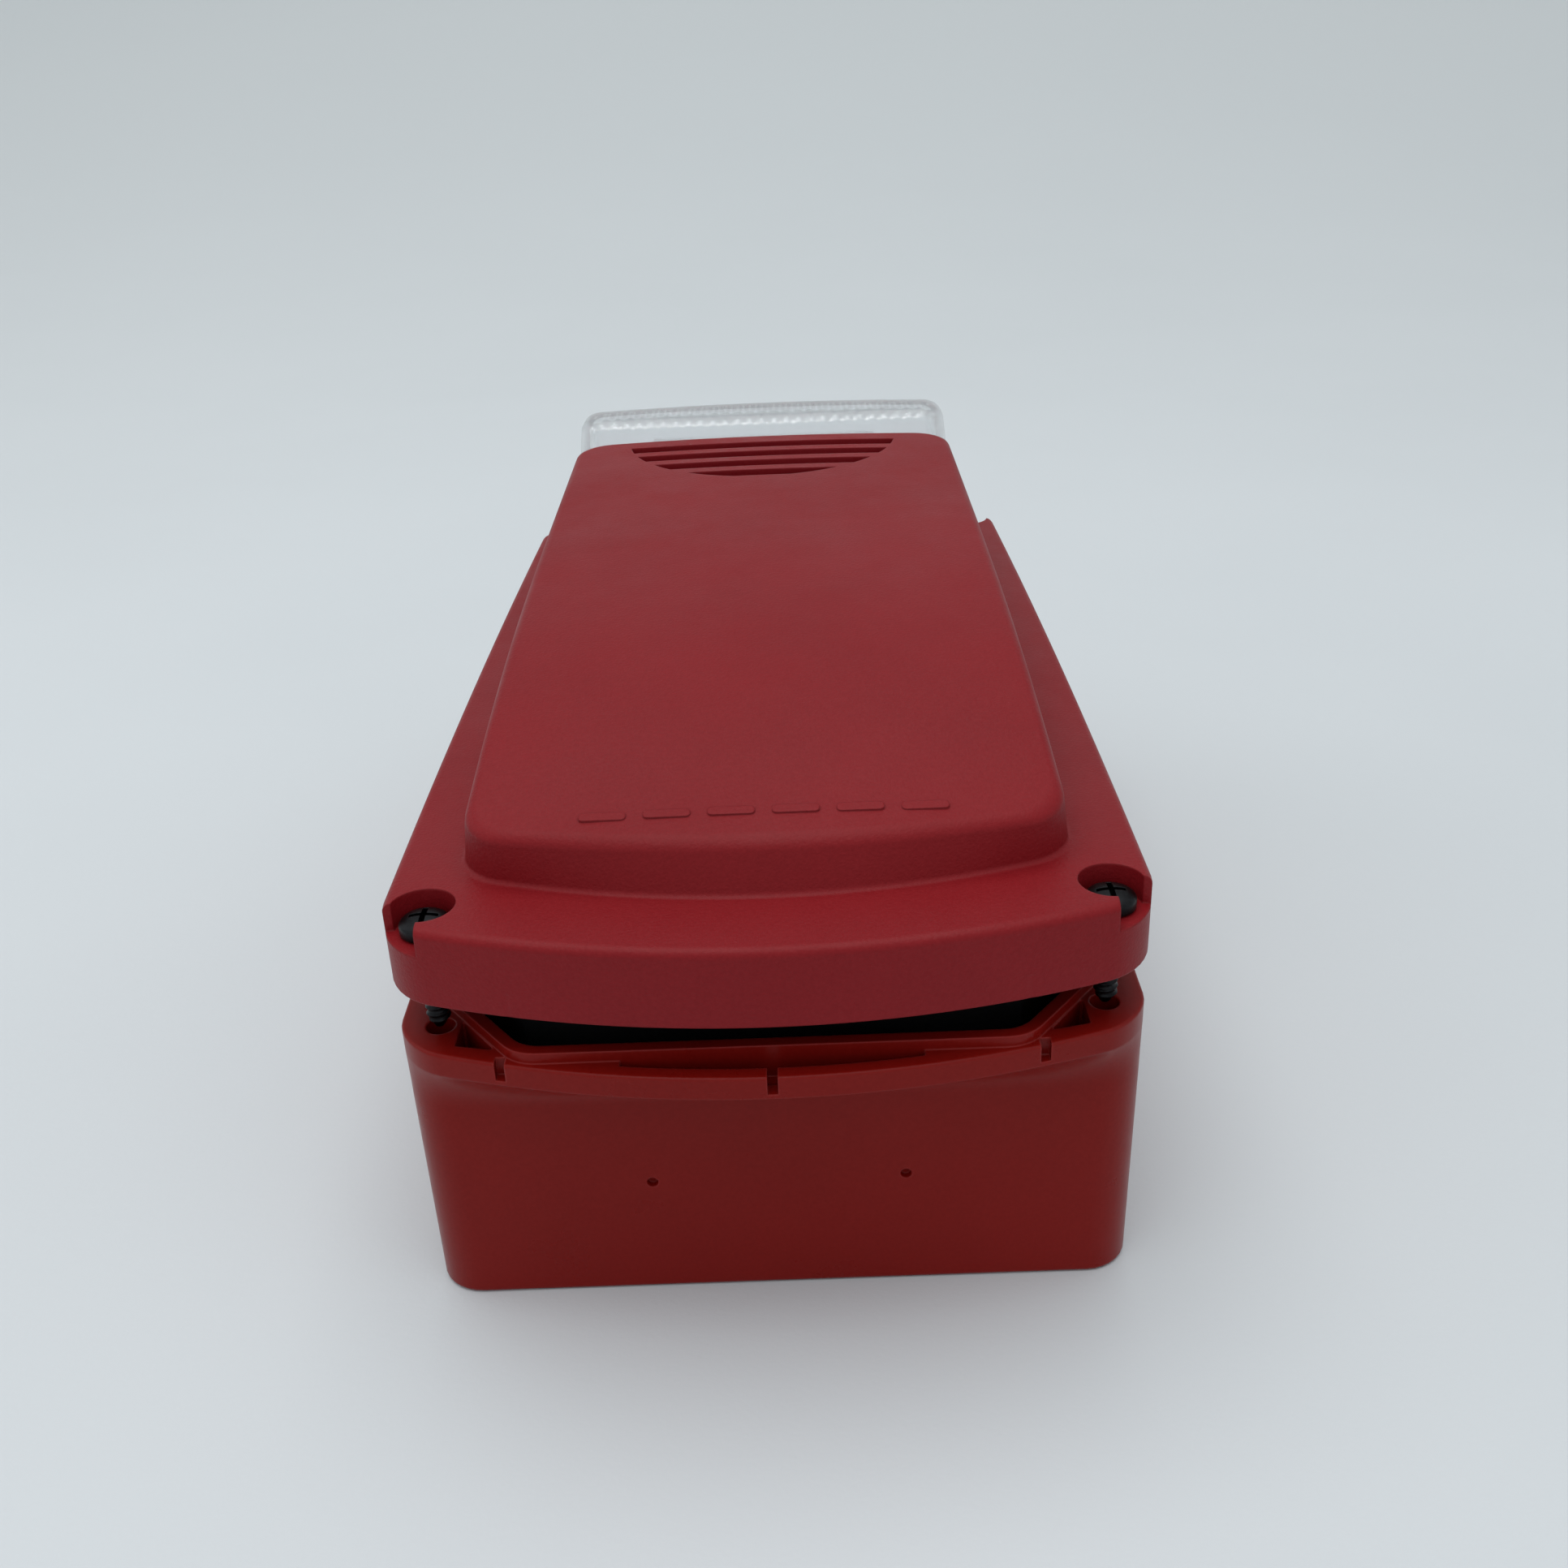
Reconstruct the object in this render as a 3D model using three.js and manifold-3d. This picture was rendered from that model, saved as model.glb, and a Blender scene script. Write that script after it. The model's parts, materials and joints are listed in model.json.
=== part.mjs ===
// Wall-mounted weatherproof horn strobe for a fire alarm system, in millimetres.
// +X is across the unit, +Y is up the wall towards the strobe, and +Z points out of the wall.
// The origin is the centre of the back box's wall face. The head stands on the tips of its four
// captive screws, just above the back box, as it does before the screws are driven home.
import * as THREE from "three";
import { mergeVertices } from "three/addons/utils/BufferGeometryUtils.js";
import Module from "manifold-3d";

// Driving dimensions
const WIDTH = 125; // across the rim of the box and the flange of the head
const END_BOW = 12.5; // how far each end bulges past its own corners
const SIDE_BOW = 1; // how far each long side bulges
const LENGTH = 243; // over both bows
const BOX_DEPTH = 54;
const BOX_DRAFT = 0.45; // how much narrower the box is at the wall, on each side
const RIM_BAND = 4.3; // height of the bowed band around the rim
const RIM_BLEND = 9; // height over which the wall swells out to meet that band
const CORNER = 8; // radius of the vertical corners
const REST_GAP = 9.3; // space between box and head while the screws stand on their bosses
const FLANGE = 14; // thickness of the head's flange
const WALL = 2.5; // plastic wall thickness of the head
const CLEAR = 0.3; // gap left between neighbouring pieces

const LIP_HALF = 59.5; // half width of the box's raised sealing lip
const LIP_END = -6.5; // lip's place from the flat end of the box: it stands in the bow
const LIP_CUT = 18; // how far the diagonal corners reach across, and up
const LIP_RISE = 23;
const LIP_THICK = 2.2;
const LIP_HEIGHT = 2;

const SCREW_X = 55.6;
const SCREW_END = 5.5; // screw axis behind the flat end of the box
const PILOT_R = 2.5;
const POCKET_R = 5.4;
const POCKET_DEPTH = 5;
const RETAINER_BORE = 1.7; // depth of the recess under each cover screw

const BODY_HALF = 51.2; // half width of the raised body where it meets the flange
const BODY_DRAFT = 0.12; // inward lean of its sides, per unit of height
const BODY_NEAR = 14.5; // foot of the raised body at its lower corners, from the flat end
const BODY_FAR = 192.5; // where the red body stops and the lens starts
const BODY_BOW = 10.5; // bow of its lower end at the foot
const BODY_UNBOW = 0.55; // how much of that bow is lost per unit of height
const BODY_EDGE = 1.8; // radius of its upper edges
const BODY_CROWN = 1.2;
const LENS_FAR = 211;
const LENS_HEIGHT = 35;

const LOUVRE_R = 34;
const LOUVRE_CENTRE = 192;
const LOUVRE_PITCH = 7.8;
const LOUVRE_OPEN = 4.6;
const LOUVRE_SLOTS = 4;
const SOUNDER_Y = 163;

// Derived levels and places
const NEAR = END_BOW - LENGTH / 2; // flat plane of the lower end
const FAR = -NEAR;
const HEAD_Z = BOX_DEPTH + REST_GAP;
const FLANGE_TOP = HEAD_Z + FLANGE;
const BOARD_Z = HEAD_Z - 10;
const BOARD_THICK = 1.6;
const ON_BOARD = BOARD_Z + BOARD_THICK + CLEAR;
const PAN_Z = HEAD_Z - 21.3; // back of the rear cover
const SCREW_TIP = BOX_DEPTH + CLEAR;
const LENS_Z = FLANGE_TOP + 1.6;
const up = (distance) => NEAR + distance; // a distance above the flat lower end, as a Y value

const SCREW_SPOTS = [
  ["lower_left", -SCREW_X, up(SCREW_END)],
  ["lower_right", SCREW_X, up(SCREW_END)],
  ["upper_left", -SCREW_X, -up(SCREW_END)],
  ["upper_right", SCREW_X, -up(SCREW_END)],
];

const wasm = await Module();
wasm.setup();

const colours = {
  red: { color: 0x8a1614, roughness: 0.42, metalness: 0 },
  black: { color: 0x151515, roughness: 0.6, metalness: 0 },
  rubber: { color: 0x1c1c1c, roughness: 0.85, metalness: 0 },
  clear: { color: 0xdfe8ec, roughness: 0.08, metalness: 0 },
  white: { color: 0xe6e4dc, roughness: 0.5, metalness: 0 },
  steel: { color: 0xb8babd, roughness: 0.3, metalness: 1 },
  blackSteel: { color: 0x242426, roughness: 0.4, metalness: 1 },
  brass: { color: 0xc9a24b, roughness: 0.35, metalness: 1 },
  board: { color: 0x1f5a32, roughness: 0.5, metalness: 0 },
  green: { color: 0x2b8a3e, roughness: 0.5, metalness: 0 },
  ferrite: { color: 0x2d2c2b, roughness: 0.7, metalness: 0 },
  copper: { color: 0xa85a28, roughness: 0.4, metalness: 1 },
  sleeve: { color: 0x22242c, roughness: 0.35, metalness: 0 },
};

// ---- solid helpers -------------------------------------------------------------------------

function solid(geometry) {
  const bare = geometry.clone();
  bare.deleteAttribute("normal");
  bare.deleteAttribute("uv");
  const merged = mergeVertices(bare, 1e-4);
  const vertProperties = merged.attributes.position.array;
  const triVerts = new Uint32Array(merged.index.array);
  return new wasm.Manifold(new wasm.Mesh({ numProp: 3, vertProperties, triVerts }));
}

function geometryOf(manifold) {
  const result = manifold.getMesh();
  const geometry = new THREE.BufferGeometry();
  geometry.setAttribute("position", new THREE.BufferAttribute(result.vertProperties, 3));
  geometry.setIndex(new THREE.BufferAttribute(result.triVerts, 1));
  geometry.computeVertexNormals();
  return geometry;
}

const cut = (base, ...tools) => tools.reduce((left, tool) => left.subtract(tool), base);
const join = (base, ...others) => others.reduce((left, other) => left.add(other), base);

function box(x0, x1, y0, y1, z0, z1) {
  const geometry = new THREE.BoxGeometry(x1 - x0, y1 - y0, z1 - z0);
  geometry.translate((x0 + x1) / 2, (y0 + y1) / 2, (z0 + z1) / 2);
  return solid(geometry);
}

function cylinder(x, y, z0, z1, radius, sides = 12) {
  const geometry = new THREE.CylinderGeometry(radius, radius, z1 - z0, sides);
  geometry.rotateX(Math.PI / 2);
  geometry.translate(x, y, (z0 + z1) / 2);
  return solid(geometry);
}

// A profile of [radius, height] pairs turned about a vertical axis through (x, y).
function turned(x, y, profile, sides = 12) {
  const geometry = new THREE.LatheGeometry(profile.map(([r, z]) => new THREE.Vector2(r, z)), sides);
  geometry.rotateX(Math.PI / 2);
  geometry.translate(x, y, 0);
  return solid(geometry);
}

function prism(points, z0, z1) {
  const shape = new THREE.Shape(points.map(([x, y]) => new THREE.Vector2(x, y)));
  const geometry = new THREE.ExtrudeGeometry(shape, { depth: z1 - z0, bevelEnabled: false });
  geometry.translate(0, 0, z0);
  return solid(geometry);
}

// The convex outline moved inwards by `amount`; it runs counter-clockwise.
function inward(outline, amount) {
  const count = outline.length;
  const edge = (k) => {
    const [x0, y0] = outline[k % count];
    const [x1, y1] = outline[(k + 1) % count];
    const size = Math.hypot(x1 - x0, y1 - y0);
    const normal = [(y0 - y1) / size, (x1 - x0) / size];
    return { normal, reach: normal[0] * x0 + normal[1] * y0 + amount };
  };
  return outline.map((_, k) => {
    const a = edge(k + count - 1);
    const b = edge(k);
    const det = a.normal[0] * b.normal[1] - a.normal[1] * b.normal[0];
    return [
      (a.reach * b.normal[1] - b.reach * a.normal[1]) / det,
      (b.reach * a.normal[0] - a.reach * b.normal[0]) / det,
    ];
  });
}

// Mirrors the corner points of the lower right quarter into a whole outline.
function fourCorners(quarterPoints) {
  const right = [...quarterPoints, ...quarterPoints.map(([x, y]) => [x, -y]).reverse()];
  return [...right, ...right.map(([x, y]) => [-x, y]).reverse()];
}

// A rectangle with diagonal corners, standing `inset` inside the sealing lip's outer face.
function lipOutline(inset) {
  const end = up(LIP_END);
  return inward(fourCorners([[LIP_HALF - LIP_CUT, end], [LIP_HALF, end + LIP_RISE]]), inset);
}

// The deep well in the box, moved inwards by `inset`; the rear cover of the head enters it.
const wellOutline = (inset) => inward(fourCorners([[43, up(3)], [57.5, up(22)]]), inset);

// ---- lofted shells -------------------------------------------------------------------------

const COLUMNS = 8;

// Rows of a bowed plan: a quarter turn at each end with straight stations between them.
function planRows(cornerSteps, stations) {
  const rows = [];
  for (let k = 0; k < cornerSteps; k++) rows.push({ end: -1, turn: k / cornerSteps });
  for (let k = 0; k <= stations; k++) rows.push({ end: 0, along: k / stations });
  for (let k = cornerSteps - 1; k >= 0; k--) rows.push({ end: 1, turn: k / cornerSteps });
  return rows;
}

// Where column u (-1 to 1) meets a row of the plan.
function planPoint(plan, u, row) {
  const length = plan.far - plan.near;
  let distance = plan.corner + (row.along ?? 0) * (length - 2 * plan.corner);
  let half = plan.half;
  if (row.end) {
    const angle = (row.turn * Math.PI) / 2;
    const back = plan.corner * (1 - Math.cos(angle));
    distance = row.end < 0 ? back : length - back;
    half += plan.corner * (Math.sin(angle) - 1);
  }
  const share = distance / length;
  half += (plan.sideBow ?? 0) * (1 - (2 * share - 1) ** 2);
  const x = u * half;
  const swell = 1 - (x / plan.half) ** 2;
  const low = plan.near - (plan.nearBow ?? 0) * swell;
  const high = plan.far + (plan.farBow ?? 0) * swell;
  return [x, low + (high - low) * share];
}

// A closed solid from levels, lowest first; each level is (u, row) => [x, y, z].
function lofted(rows, levels) {
  const triangles = [];
  const at = (level, [i, j]) => level((2 * i) / COLUMNS - 1, rows[j]);
  const quad = (a, b, c, d) => triangles.push(...a, ...b, ...c, ...a, ...c, ...d);
  const last = rows.length - 1;
  const rim = [];
  for (let i = 0; i < COLUMNS; i++) rim.push([i, 0]);
  for (let j = 0; j < last; j++) rim.push([COLUMNS, j]);
  for (let i = COLUMNS; i > 0; i--) rim.push([i, last]);
  for (let j = last; j > 0; j--) rim.push([0, j]);
  for (let k = 0; k + 1 < levels.length; k++) {
    for (let n = 0; n < rim.length; n++) {
      const a = rim[n];
      const b = rim[(n + 1) % rim.length];
      quad(at(levels[k], a), at(levels[k], b), at(levels[k + 1], b), at(levels[k + 1], a));
    }
  }
  const floor = levels[0];
  const roof = levels[levels.length - 1];
  for (let i = 0; i < COLUMNS; i++) {
    for (let j = 0; j < last; j++) {
      const corners = [[i, j], [i + 1, j], [i + 1, j + 1], [i, j + 1]];
      quad(...corners.map((c) => at(roof, c)));
      quad(...corners.map((c) => at(floor, c)).reverse());
    }
  }
  const geometry = new THREE.BufferGeometry();
  geometry.setAttribute("position", new THREE.BufferAttribute(new Float32Array(triangles), 3));
  return solid(geometry);
}

const flat = (plan, z) => (u, row) => [...planPoint(plan, u, row), z];

// ---- back box ------------------------------------------------------------------------------

function boxPlan(z) {
  const lean = BOX_DRAFT * Math.max(0, 1 - z / (BOX_DEPTH - RIM_BAND - RIM_BLEND));
  const flare = Math.min(1, Math.max(0, (z - (BOX_DEPTH - RIM_BAND - RIM_BLEND)) / RIM_BLEND));
  return {
    half: WIDTH / 2 - lean,
    near: NEAR + lean,
    far: FAR - lean,
    corner: CORNER,
    nearBow: END_BOW * flare ** 2,
    farBow: END_BOW * flare ** 2,
    sideBow: SIDE_BOW * flare ** 2,
  };
}

const ENTRY_R = 11; // rear conduit entry
const FLOOR = 3;
const LEDGE_Z = 50; // ledge inside the mouth, above the flat end walls
const RECESS_HALF = 24.5;
const RECESS_RIM = 2.7; // land left between the crescent recess and the rim
const NOTCHES = [-44.1, 0, 44.1];

function backBox() {
  const crease = BOX_DEPTH - RIM_BAND;
  const heights = [0, crease - RIM_BLEND, crease - 6, crease - 3, crease, BOX_DEPTH];
  const rows = planRows(3, 4);
  const outer = lofted(rows, heights.map((z) => flat(boxPlan(z), z)));
  const lip = prism(lipOutline(0), BOX_DEPTH - 1, BOX_DEPTH + LIP_HEIGHT);
  const mouth = prism(lipOutline(LIP_THICK), LEDGE_Z, BOX_DEPTH + 5);
  let shell = cut(join(outer, lip), mouth, prism(wellOutline(0), FLOOR, BOX_DEPTH));
  shell = cut(shell, rimRecess(-1), rimRecess(1));
  for (const [, x, y] of SCREW_SPOTS) {
    shell = cut(shell, cylinder(x, y, BOX_DEPTH - 18, BOX_DEPTH + 5, PILOT_R, 16), corePocket(x, y));
  }
  for (const x of NOTCHES) {
    const past = Math.max(0, Math.abs(x) - 0.85 - (LIP_HALF - LIP_CUT)); // into the diagonal corner
    const stop = up(LIP_END) + (past * LIP_RISE) / LIP_CUT;
    for (const [y0, y1] of [[NEAR - END_BOW - 1, stop], [-stop, FAR + END_BOW + 1]]) {
      shell = cut(shell, box(x - 0.85, x + 0.85, y0, y1, BOX_DEPTH - 3.3, BOX_DEPTH + 0.5));
    }
  }
  for (const x of [-40, 40]) {
    for (const y of [-80, 80]) shell = cut(shell, cylinder(x, y, -1, FLOOR + 1, 2.8));
  }
  shell = cut(shell, cylinder(0, -30, -1, FLOOR + 1, ENTRY_R, 24));
  shell = join(shell, cylinder(24, 40, FLOOR - 1, FLOOR + 6, 5));
  shell = cut(shell, cylinder(24, 40, FLOOR, FLOOR + 8, 2.2, 12));
  return drillMarks(shell);
}

// The crescent core-out between the sealing lip and the middle of a bowed end.
function rimRecess(end) {
  const points = [[RECESS_HALF, up(LIP_END)], [-RECESS_HALF, up(LIP_END)]];
  for (let k = 0; k <= 4; k++) {
    const x = RECESS_HALF * (k / 2 - 1) * 0.97;
    points.push([x, NEAR - END_BOW * (1 - (x / (WIDTH / 2)) ** 2) + RECESS_RIM]);
  }
  const facing = end < 0 ? points : points.map(([x, y]) => [-x, -y]);
  return prism(facing, BOX_DEPTH - 4, BOX_DEPTH + 1);
}

// The triangular core-out between a screw boss and the sealing lip.
function corePocket(x, y) {
  const side = Math.sign(x);
  const end = Math.sign(y);
  const local = [[3.4, -1.4], [3.4, 6.1], [10.3, 7.7]]; // towards the middle, and towards the near end
  const points = local.map(([a, b]) => [x - side * a, y + end * b]);
  return prism(points, BOX_DEPTH - 6, BOX_DEPTH + 1);
}

// Small dimples in the end walls that show where a conduit hole may be drilled.
function drillMarks(shell) {
  let marked = shell;
  for (const x of [-21.9, 21.9]) {
    for (const y of [NEAR, FAR]) marked = cut(marked, box(x - 0.9, x + 0.9, y - 1, y + 1, 22.8, 24.6));
  }
  return marked;
}

function entryPlug() {
  const body = ENTRY_R - CLEAR;
  const rim = FLOOR + CLEAR;
  const seat = [[0, 0.4], [body, 0.4], [body, rim], [12.5, rim]];
  const profile = [...seat, [12.5, rim + 3], [11.5, rim + 4], [0, rim + 4]];
  const plug = turned(0, -30, profile, 24);
  return cut(plug, cylinder(0, -30, FLOOR + 1, FLOOR + 8, 4.6, 6));
}

function groundScrew() {
  const z = FLOOR + 6 + CLEAR;
  const top = z + 2.8;
  const shank = [[0, FLOOR + 1], [1.8, FLOOR + 1.6], [1.8, z]];
  const screw = turned(24, 40, [...shank, [4.2, z], [4.2, z + 1.8], [3.2, top], [0, top]], 16);
  return cut(screw, box(20, 28, 39.5, 40.5, z + 1.6, z + 4));
}

// ---- head shell ----------------------------------------------------------------------------

// Height of the raised body above the flange: steep over the lower end, then nearly level.
const crownLine = new THREE.SplineCurve(
  [[0, 7], [12, 9.6], [41, 16.8], [72, 22.2], [108, 25.6], [150, 28], [192, 30], [215, 30.4]].map(
    ([y, z]) => new THREE.Vector2(y, z),
  ),
);

function crownHeight(y) {
  let low = 0;
  let high = 1;
  for (let step = 0; step < 24; step++) {
    const middle = (low + high) / 2;
    if (crownLine.getPoint(middle).x < y - NEAR) low = middle;
    else high = middle;
  }
  return crownLine.getPoint(low).y;
}

// One level of the raised body: `drop` below its top surface and `inset` inside its wall.
function bodyLevel(drop, inset, thickness) {
  return (u, row) => {
    const foot = bodyPlan(9, inset, thickness);
    const height = crownHeight(planPoint(foot, u, row)[1]) - thickness;
    const plan = bodyPlan(height - drop, inset, thickness);
    const [x, y] = planPoint(plan, u, row);
    const sag = BODY_CROWN * (x / BODY_HALF) ** 2;
    return [x, y, FLANGE_TOP + height - drop - sag];
  };
}

function bodyPlan(height, inset, thickness) {
  const lowHeight = Math.min(height, 9);
  return {
    half: BODY_HALF - height * BODY_DRAFT - inset - thickness,
    near: up(BODY_NEAR) - 0.16 * lowHeight + inset + thickness,
    far: up(BODY_FAR) - thickness,
    corner: Math.max(2.5, 7 - thickness),
    nearBow: BODY_BOW - BODY_UNBOW * lowHeight,
  };
}

function raisedBody(thickness, floorZ) {
  const rows = planRows(2, 7);
  const levels = [flat(bodyPlan(0, 0, thickness), floorZ)];
  if (thickness === 0) {
    levels.push(bodyLevel(BODY_EDGE, 0, 0));
    levels.push(bodyLevel(BODY_EDGE * 0.3, BODY_EDGE * 0.3, 0));
  }
  levels.push(bodyLevel(0, BODY_EDGE, thickness));
  return lofted(rows, levels);
}

function flangeBlock() {
  const plan = boxPlan(BOX_DEPTH);
  const inset = (amount) => ({
    ...plan,
    half: plan.half - amount,
    near: plan.near + amount,
    far: plan.far - amount,
    corner: plan.corner - amount,
  });
  return lofted(planRows(3, 4), [
    flat(plan, HEAD_Z),
    flat(plan, FLANGE_TOP - 1.5),
    flat(inset(0.45), FLANGE_TOP - 0.45),
    flat(inset(1.5), FLANGE_TOP),
  ]);
}

// One horizontal louvre opening, bounded by the speaker circle.
function louvreSlot(centreY) {
  const right = [];
  for (let k = 0; k <= 4; k++) {
    const y = centreY - LOUVRE_OPEN / 2 + (k / 4) * LOUVRE_OPEN;
    const reach = Math.sqrt(Math.max(0, LOUVRE_R ** 2 - (up(LOUVRE_CENTRE) - y) ** 2));
    if (reach > 1) right.push([reach, y]);
  }
  const points = [...right, ...right.map(([x, y]) => [-x, y]).reverse()];
  return prism(points, FLANGE_TOP + 12, FLANGE_TOP + 40);
}

const louvreCentre = (k) => up(LOUVRE_CENTRE - 7.6 - k * LOUVRE_PITCH);

const COVER_POSTS = [[-43, up(24)], [43, up(24)], [-43, up(186)], [43, up(186)]];
const BOARD_POSTS = [[-38, up(40)], [38, up(40)], [-38, up(140)], [38, up(140)]];

function frontCover() {
  let shell = join(flangeBlock(), raisedBody(0, FLANGE_TOP - 1));
  shell = cut(shell, raisedBody(WALL, HEAD_Z + 1));
  shell = cut(shell, prism(lipOutline(LIP_THICK), HEAD_Z - 1, FLANGE_TOP - WALL));
  shell = cut(shell, prism(lipOutline(-0.5), HEAD_Z - 1, HEAD_Z + 4.5));
  for (const [, x, y] of SCREW_SPOTS) {
    const outX = x + Math.sign(x) * 12;
    const outY = y + Math.sign(y) * 12;
    const floor = FLANGE_TOP - POCKET_DEPTH;
    const mouth = prism(openCorner(x, y, outX, outY), floor, FLANGE_TOP + 3);
    shell = cut(shell, cylinder(x, y, floor, FLANGE_TOP + 5, POCKET_R, 20), mouth);
    shell = cut(shell, cylinder(x, y, HEAD_Z - 1, FLANGE_TOP, 2.5));
    shell = cut(shell, cylinder(x, y, HEAD_Z - 1, HEAD_Z + RETAINER_BORE, 3.1));
  }
  for (let k = 0; k < LOUVRE_SLOTS; k++) shell = cut(shell, louvreSlot(louvreCentre(k)));
  shell = cut(shell, box(-44, 44, up(196), up(207), FLANGE_TOP - WALL - 1, FLANGE_TOP + 1));
  return addPosts(shell);
}

// The mouth that opens a screw pocket towards the corner it stands in.
function openCorner(x, y, outX, outY) {
  const points = [[x, y - Math.sign(y) * 1.5], [outX, y], [outX, outY], [x, outY]];
  return Math.sign(x) * Math.sign(y) > 0 ? points : points.reverse();
}

// Moulded screw posts that hang from the inside of the shell.
function addPosts(shell) {
  const inside = raisedBody(WALL / 2, PAN_Z);
  let result = shell;
  for (const [x, y] of COVER_POSTS) {
    result = join(result, cylinder(x, y, HEAD_Z + 0.8, FLANGE_TOP + 40, 3.6, 12).intersect(inside));
    result = cut(result, cylinder(x, y, HEAD_Z, FLANGE_TOP - 4, 1.5, 10));
  }
  for (const [x, y] of BOARD_POSTS) {
    result = join(result, cylinder(x, y, ON_BOARD, FLANGE_TOP + 40, 3.2, 12).intersect(inside));
    result = cut(result, cylinder(x, y, BOARD_Z, BOARD_Z + 12, 1.3, 10));
  }
  return result;
}

function perimeterGasket() {
  const outer = prism(lipOutline(-0.2), HEAD_Z + 2, HEAD_Z + 4.2);
  return cut(outer, prism(lipOutline(1.6), HEAD_Z, HEAD_Z + 6));
}

// ---- strobe --------------------------------------------------------------------------------

function lensPlan(height, thickness) {
  return {
    half: BODY_HALF - height * BODY_DRAFT - thickness,
    near: up(BODY_FAR) + CLEAR + thickness,
    far: up(LENS_FAR) - height * 0.1 - thickness,
    corner: Math.max(1.5, 5 - thickness),
    farBow: 4,
  };
}

function lensBlock(thickness, z0, height) {
  const lift = LENS_Z - FLANGE_TOP;
  const rows = planRows(3, 2);
  return lofted(rows, [
    flat(lensPlan(lift, thickness), z0),
    flat(lensPlan(height - 3, thickness), FLANGE_TOP + height - 3),
    flat(lensPlan(height - 0.9, thickness + 0.7), FLANGE_TOP + height - 0.9),
    flat(lensPlan(height, thickness + 2.6), FLANGE_TOP + height),
  ]);
}

function strobeLens() {
  const hollow = lensBlock(2.4, LENS_Z - 2, LENS_HEIGHT - 2.4);
  return cut(lensBlock(0, LENS_Z, LENS_HEIGHT), hollow);
}

function lensGasket() {
  const z0 = FLANGE_TOP + CLEAR;
  const z1 = LENS_Z - CLEAR;
  const outer = lofted(planRows(3, 2), [flat(lensPlan(2, 0.4), z0), flat(lensPlan(2, 0.4), z1)]);
  return cut(outer, lofted(planRows(3, 2), [flat(lensPlan(2, 2), z0 - 1), flat(lensPlan(2, 2), z1 + 1)]));
}

const TUBE_Y = up(202);
const TUBE_Z = FLANGE_TOP + 21;

// A polished trough that opens out of the wall, with the flash tube at its focus.
function reflector() {
  const outer = [];
  const inner = [];
  for (let k = -6; k <= 6; k++) {
    const y = (k / 6) * 5.4;
    outer.push(new THREE.Vector2(y, TUBE_Z - 9 + (y * y) * 0.45));
    inner.unshift(new THREE.Vector2(y * 0.86, TUBE_Z - 7.8 + (y * y) * 0.41));
  }
  const shape = new THREE.Shape([...outer, ...inner]);
  const geometry = new THREE.ExtrudeGeometry(shape, { depth: 60, bevelEnabled: false });
  geometry.rotateX(Math.PI / 2);
  geometry.rotateZ(Math.PI / 2);
  geometry.translate(-30, TUBE_Y, 0);
  const leg = (x) => box(x - 2, x + 2, TUBE_Y - 1, TUBE_Y + 1, ON_BOARD, TUBE_Z - 8.4);
  return join(solid(geometry), leg(-24), leg(24));
}

// A cylinder lying across the unit.
function rod(x0, x1, y, z, radius, sides = 16) {
  const geometry = new THREE.CylinderGeometry(radius, radius, x1 - x0, sides);
  geometry.rotateZ(Math.PI / 2);
  geometry.translate((x0 + x1) / 2, y, z);
  return solid(geometry);
}

// A round wire through the given points.
function wire(points, radius) {
  const path = new THREE.CatmullRomCurve3(points.map((p) => new THREE.Vector3(...p)), false, "centripetal");
  const section = new THREE.Shape();
  section.absarc(0, 0, radius, 0, Math.PI * 2);
  const options = { steps: points.length * 3, curveSegments: 4, extrudePath: path, bevelEnabled: false };
  return solid(new THREE.ExtrudeGeometry(section, options));
}

const electrode = (side) => {
  const inner = 28 * side + CLEAR * side;
  const outer = 34 * side;
  return join(
    rod(Math.min(inner, outer), Math.max(inner, outer), TUBE_Y, TUBE_Z, 2.4, 14),
    wire([[outer - side, TUBE_Y, TUBE_Z], [outer + side * 2.5, TUBE_Y, TUBE_Z - 2],
      [outer + side * 3, TUBE_Y, TUBE_Z - 10], [outer + side * 3, TUBE_Y, ON_BOARD]], 0.7),
  );
};

function triggerCoil() {
  const profile = [[0, 0], [4.6, 0], [4.6, 1.2], [3.6, 1.2], [3.6, 9], [4.6, 9], [4.6, 10.2], [0, 10.2]];
  return turned(-38, up(170), profile.map(([r, z]) => [r, z + ON_BOARD]), 16);
}

// ---- electronics ---------------------------------------------------------------------------

function mainBoard() {
  let board = box(-44, 44, up(30), up(204), BOARD_Z, BOARD_Z + BOARD_THICK);
  for (const [x, y] of BOARD_POSTS) board = cut(board, cylinder(x, y, BOARD_Z - 1, BOARD_Z + 3, 1.8, 10));
  for (const x of [-43, 43]) board = cut(board, cylinder(x, up(186), BOARD_Z - 1, BOARD_Z + 3, 5));
  return board;
}

function storageCapacitor() {
  const radius = 9;
  const profile = [[0, 0], [radius - 1, 0], [radius, 1], [radius, 2.2], [radius - 0.6, 3], [radius, 3.8],
    [radius, 33], [radius - 1, 34], [0, 34]];
  const geometry = new THREE.LatheGeometry(profile.map(([r, z]) => new THREE.Vector2(r, z)), 24);
  geometry.rotateZ(Math.PI / 2);
  geometry.translate(17, up(104), ON_BOARD + radius);
  return solid(geometry);
}

const CORE = { x: -26, y: up(78), halfX: 9, halfY: 8, tall: 13 };

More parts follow.
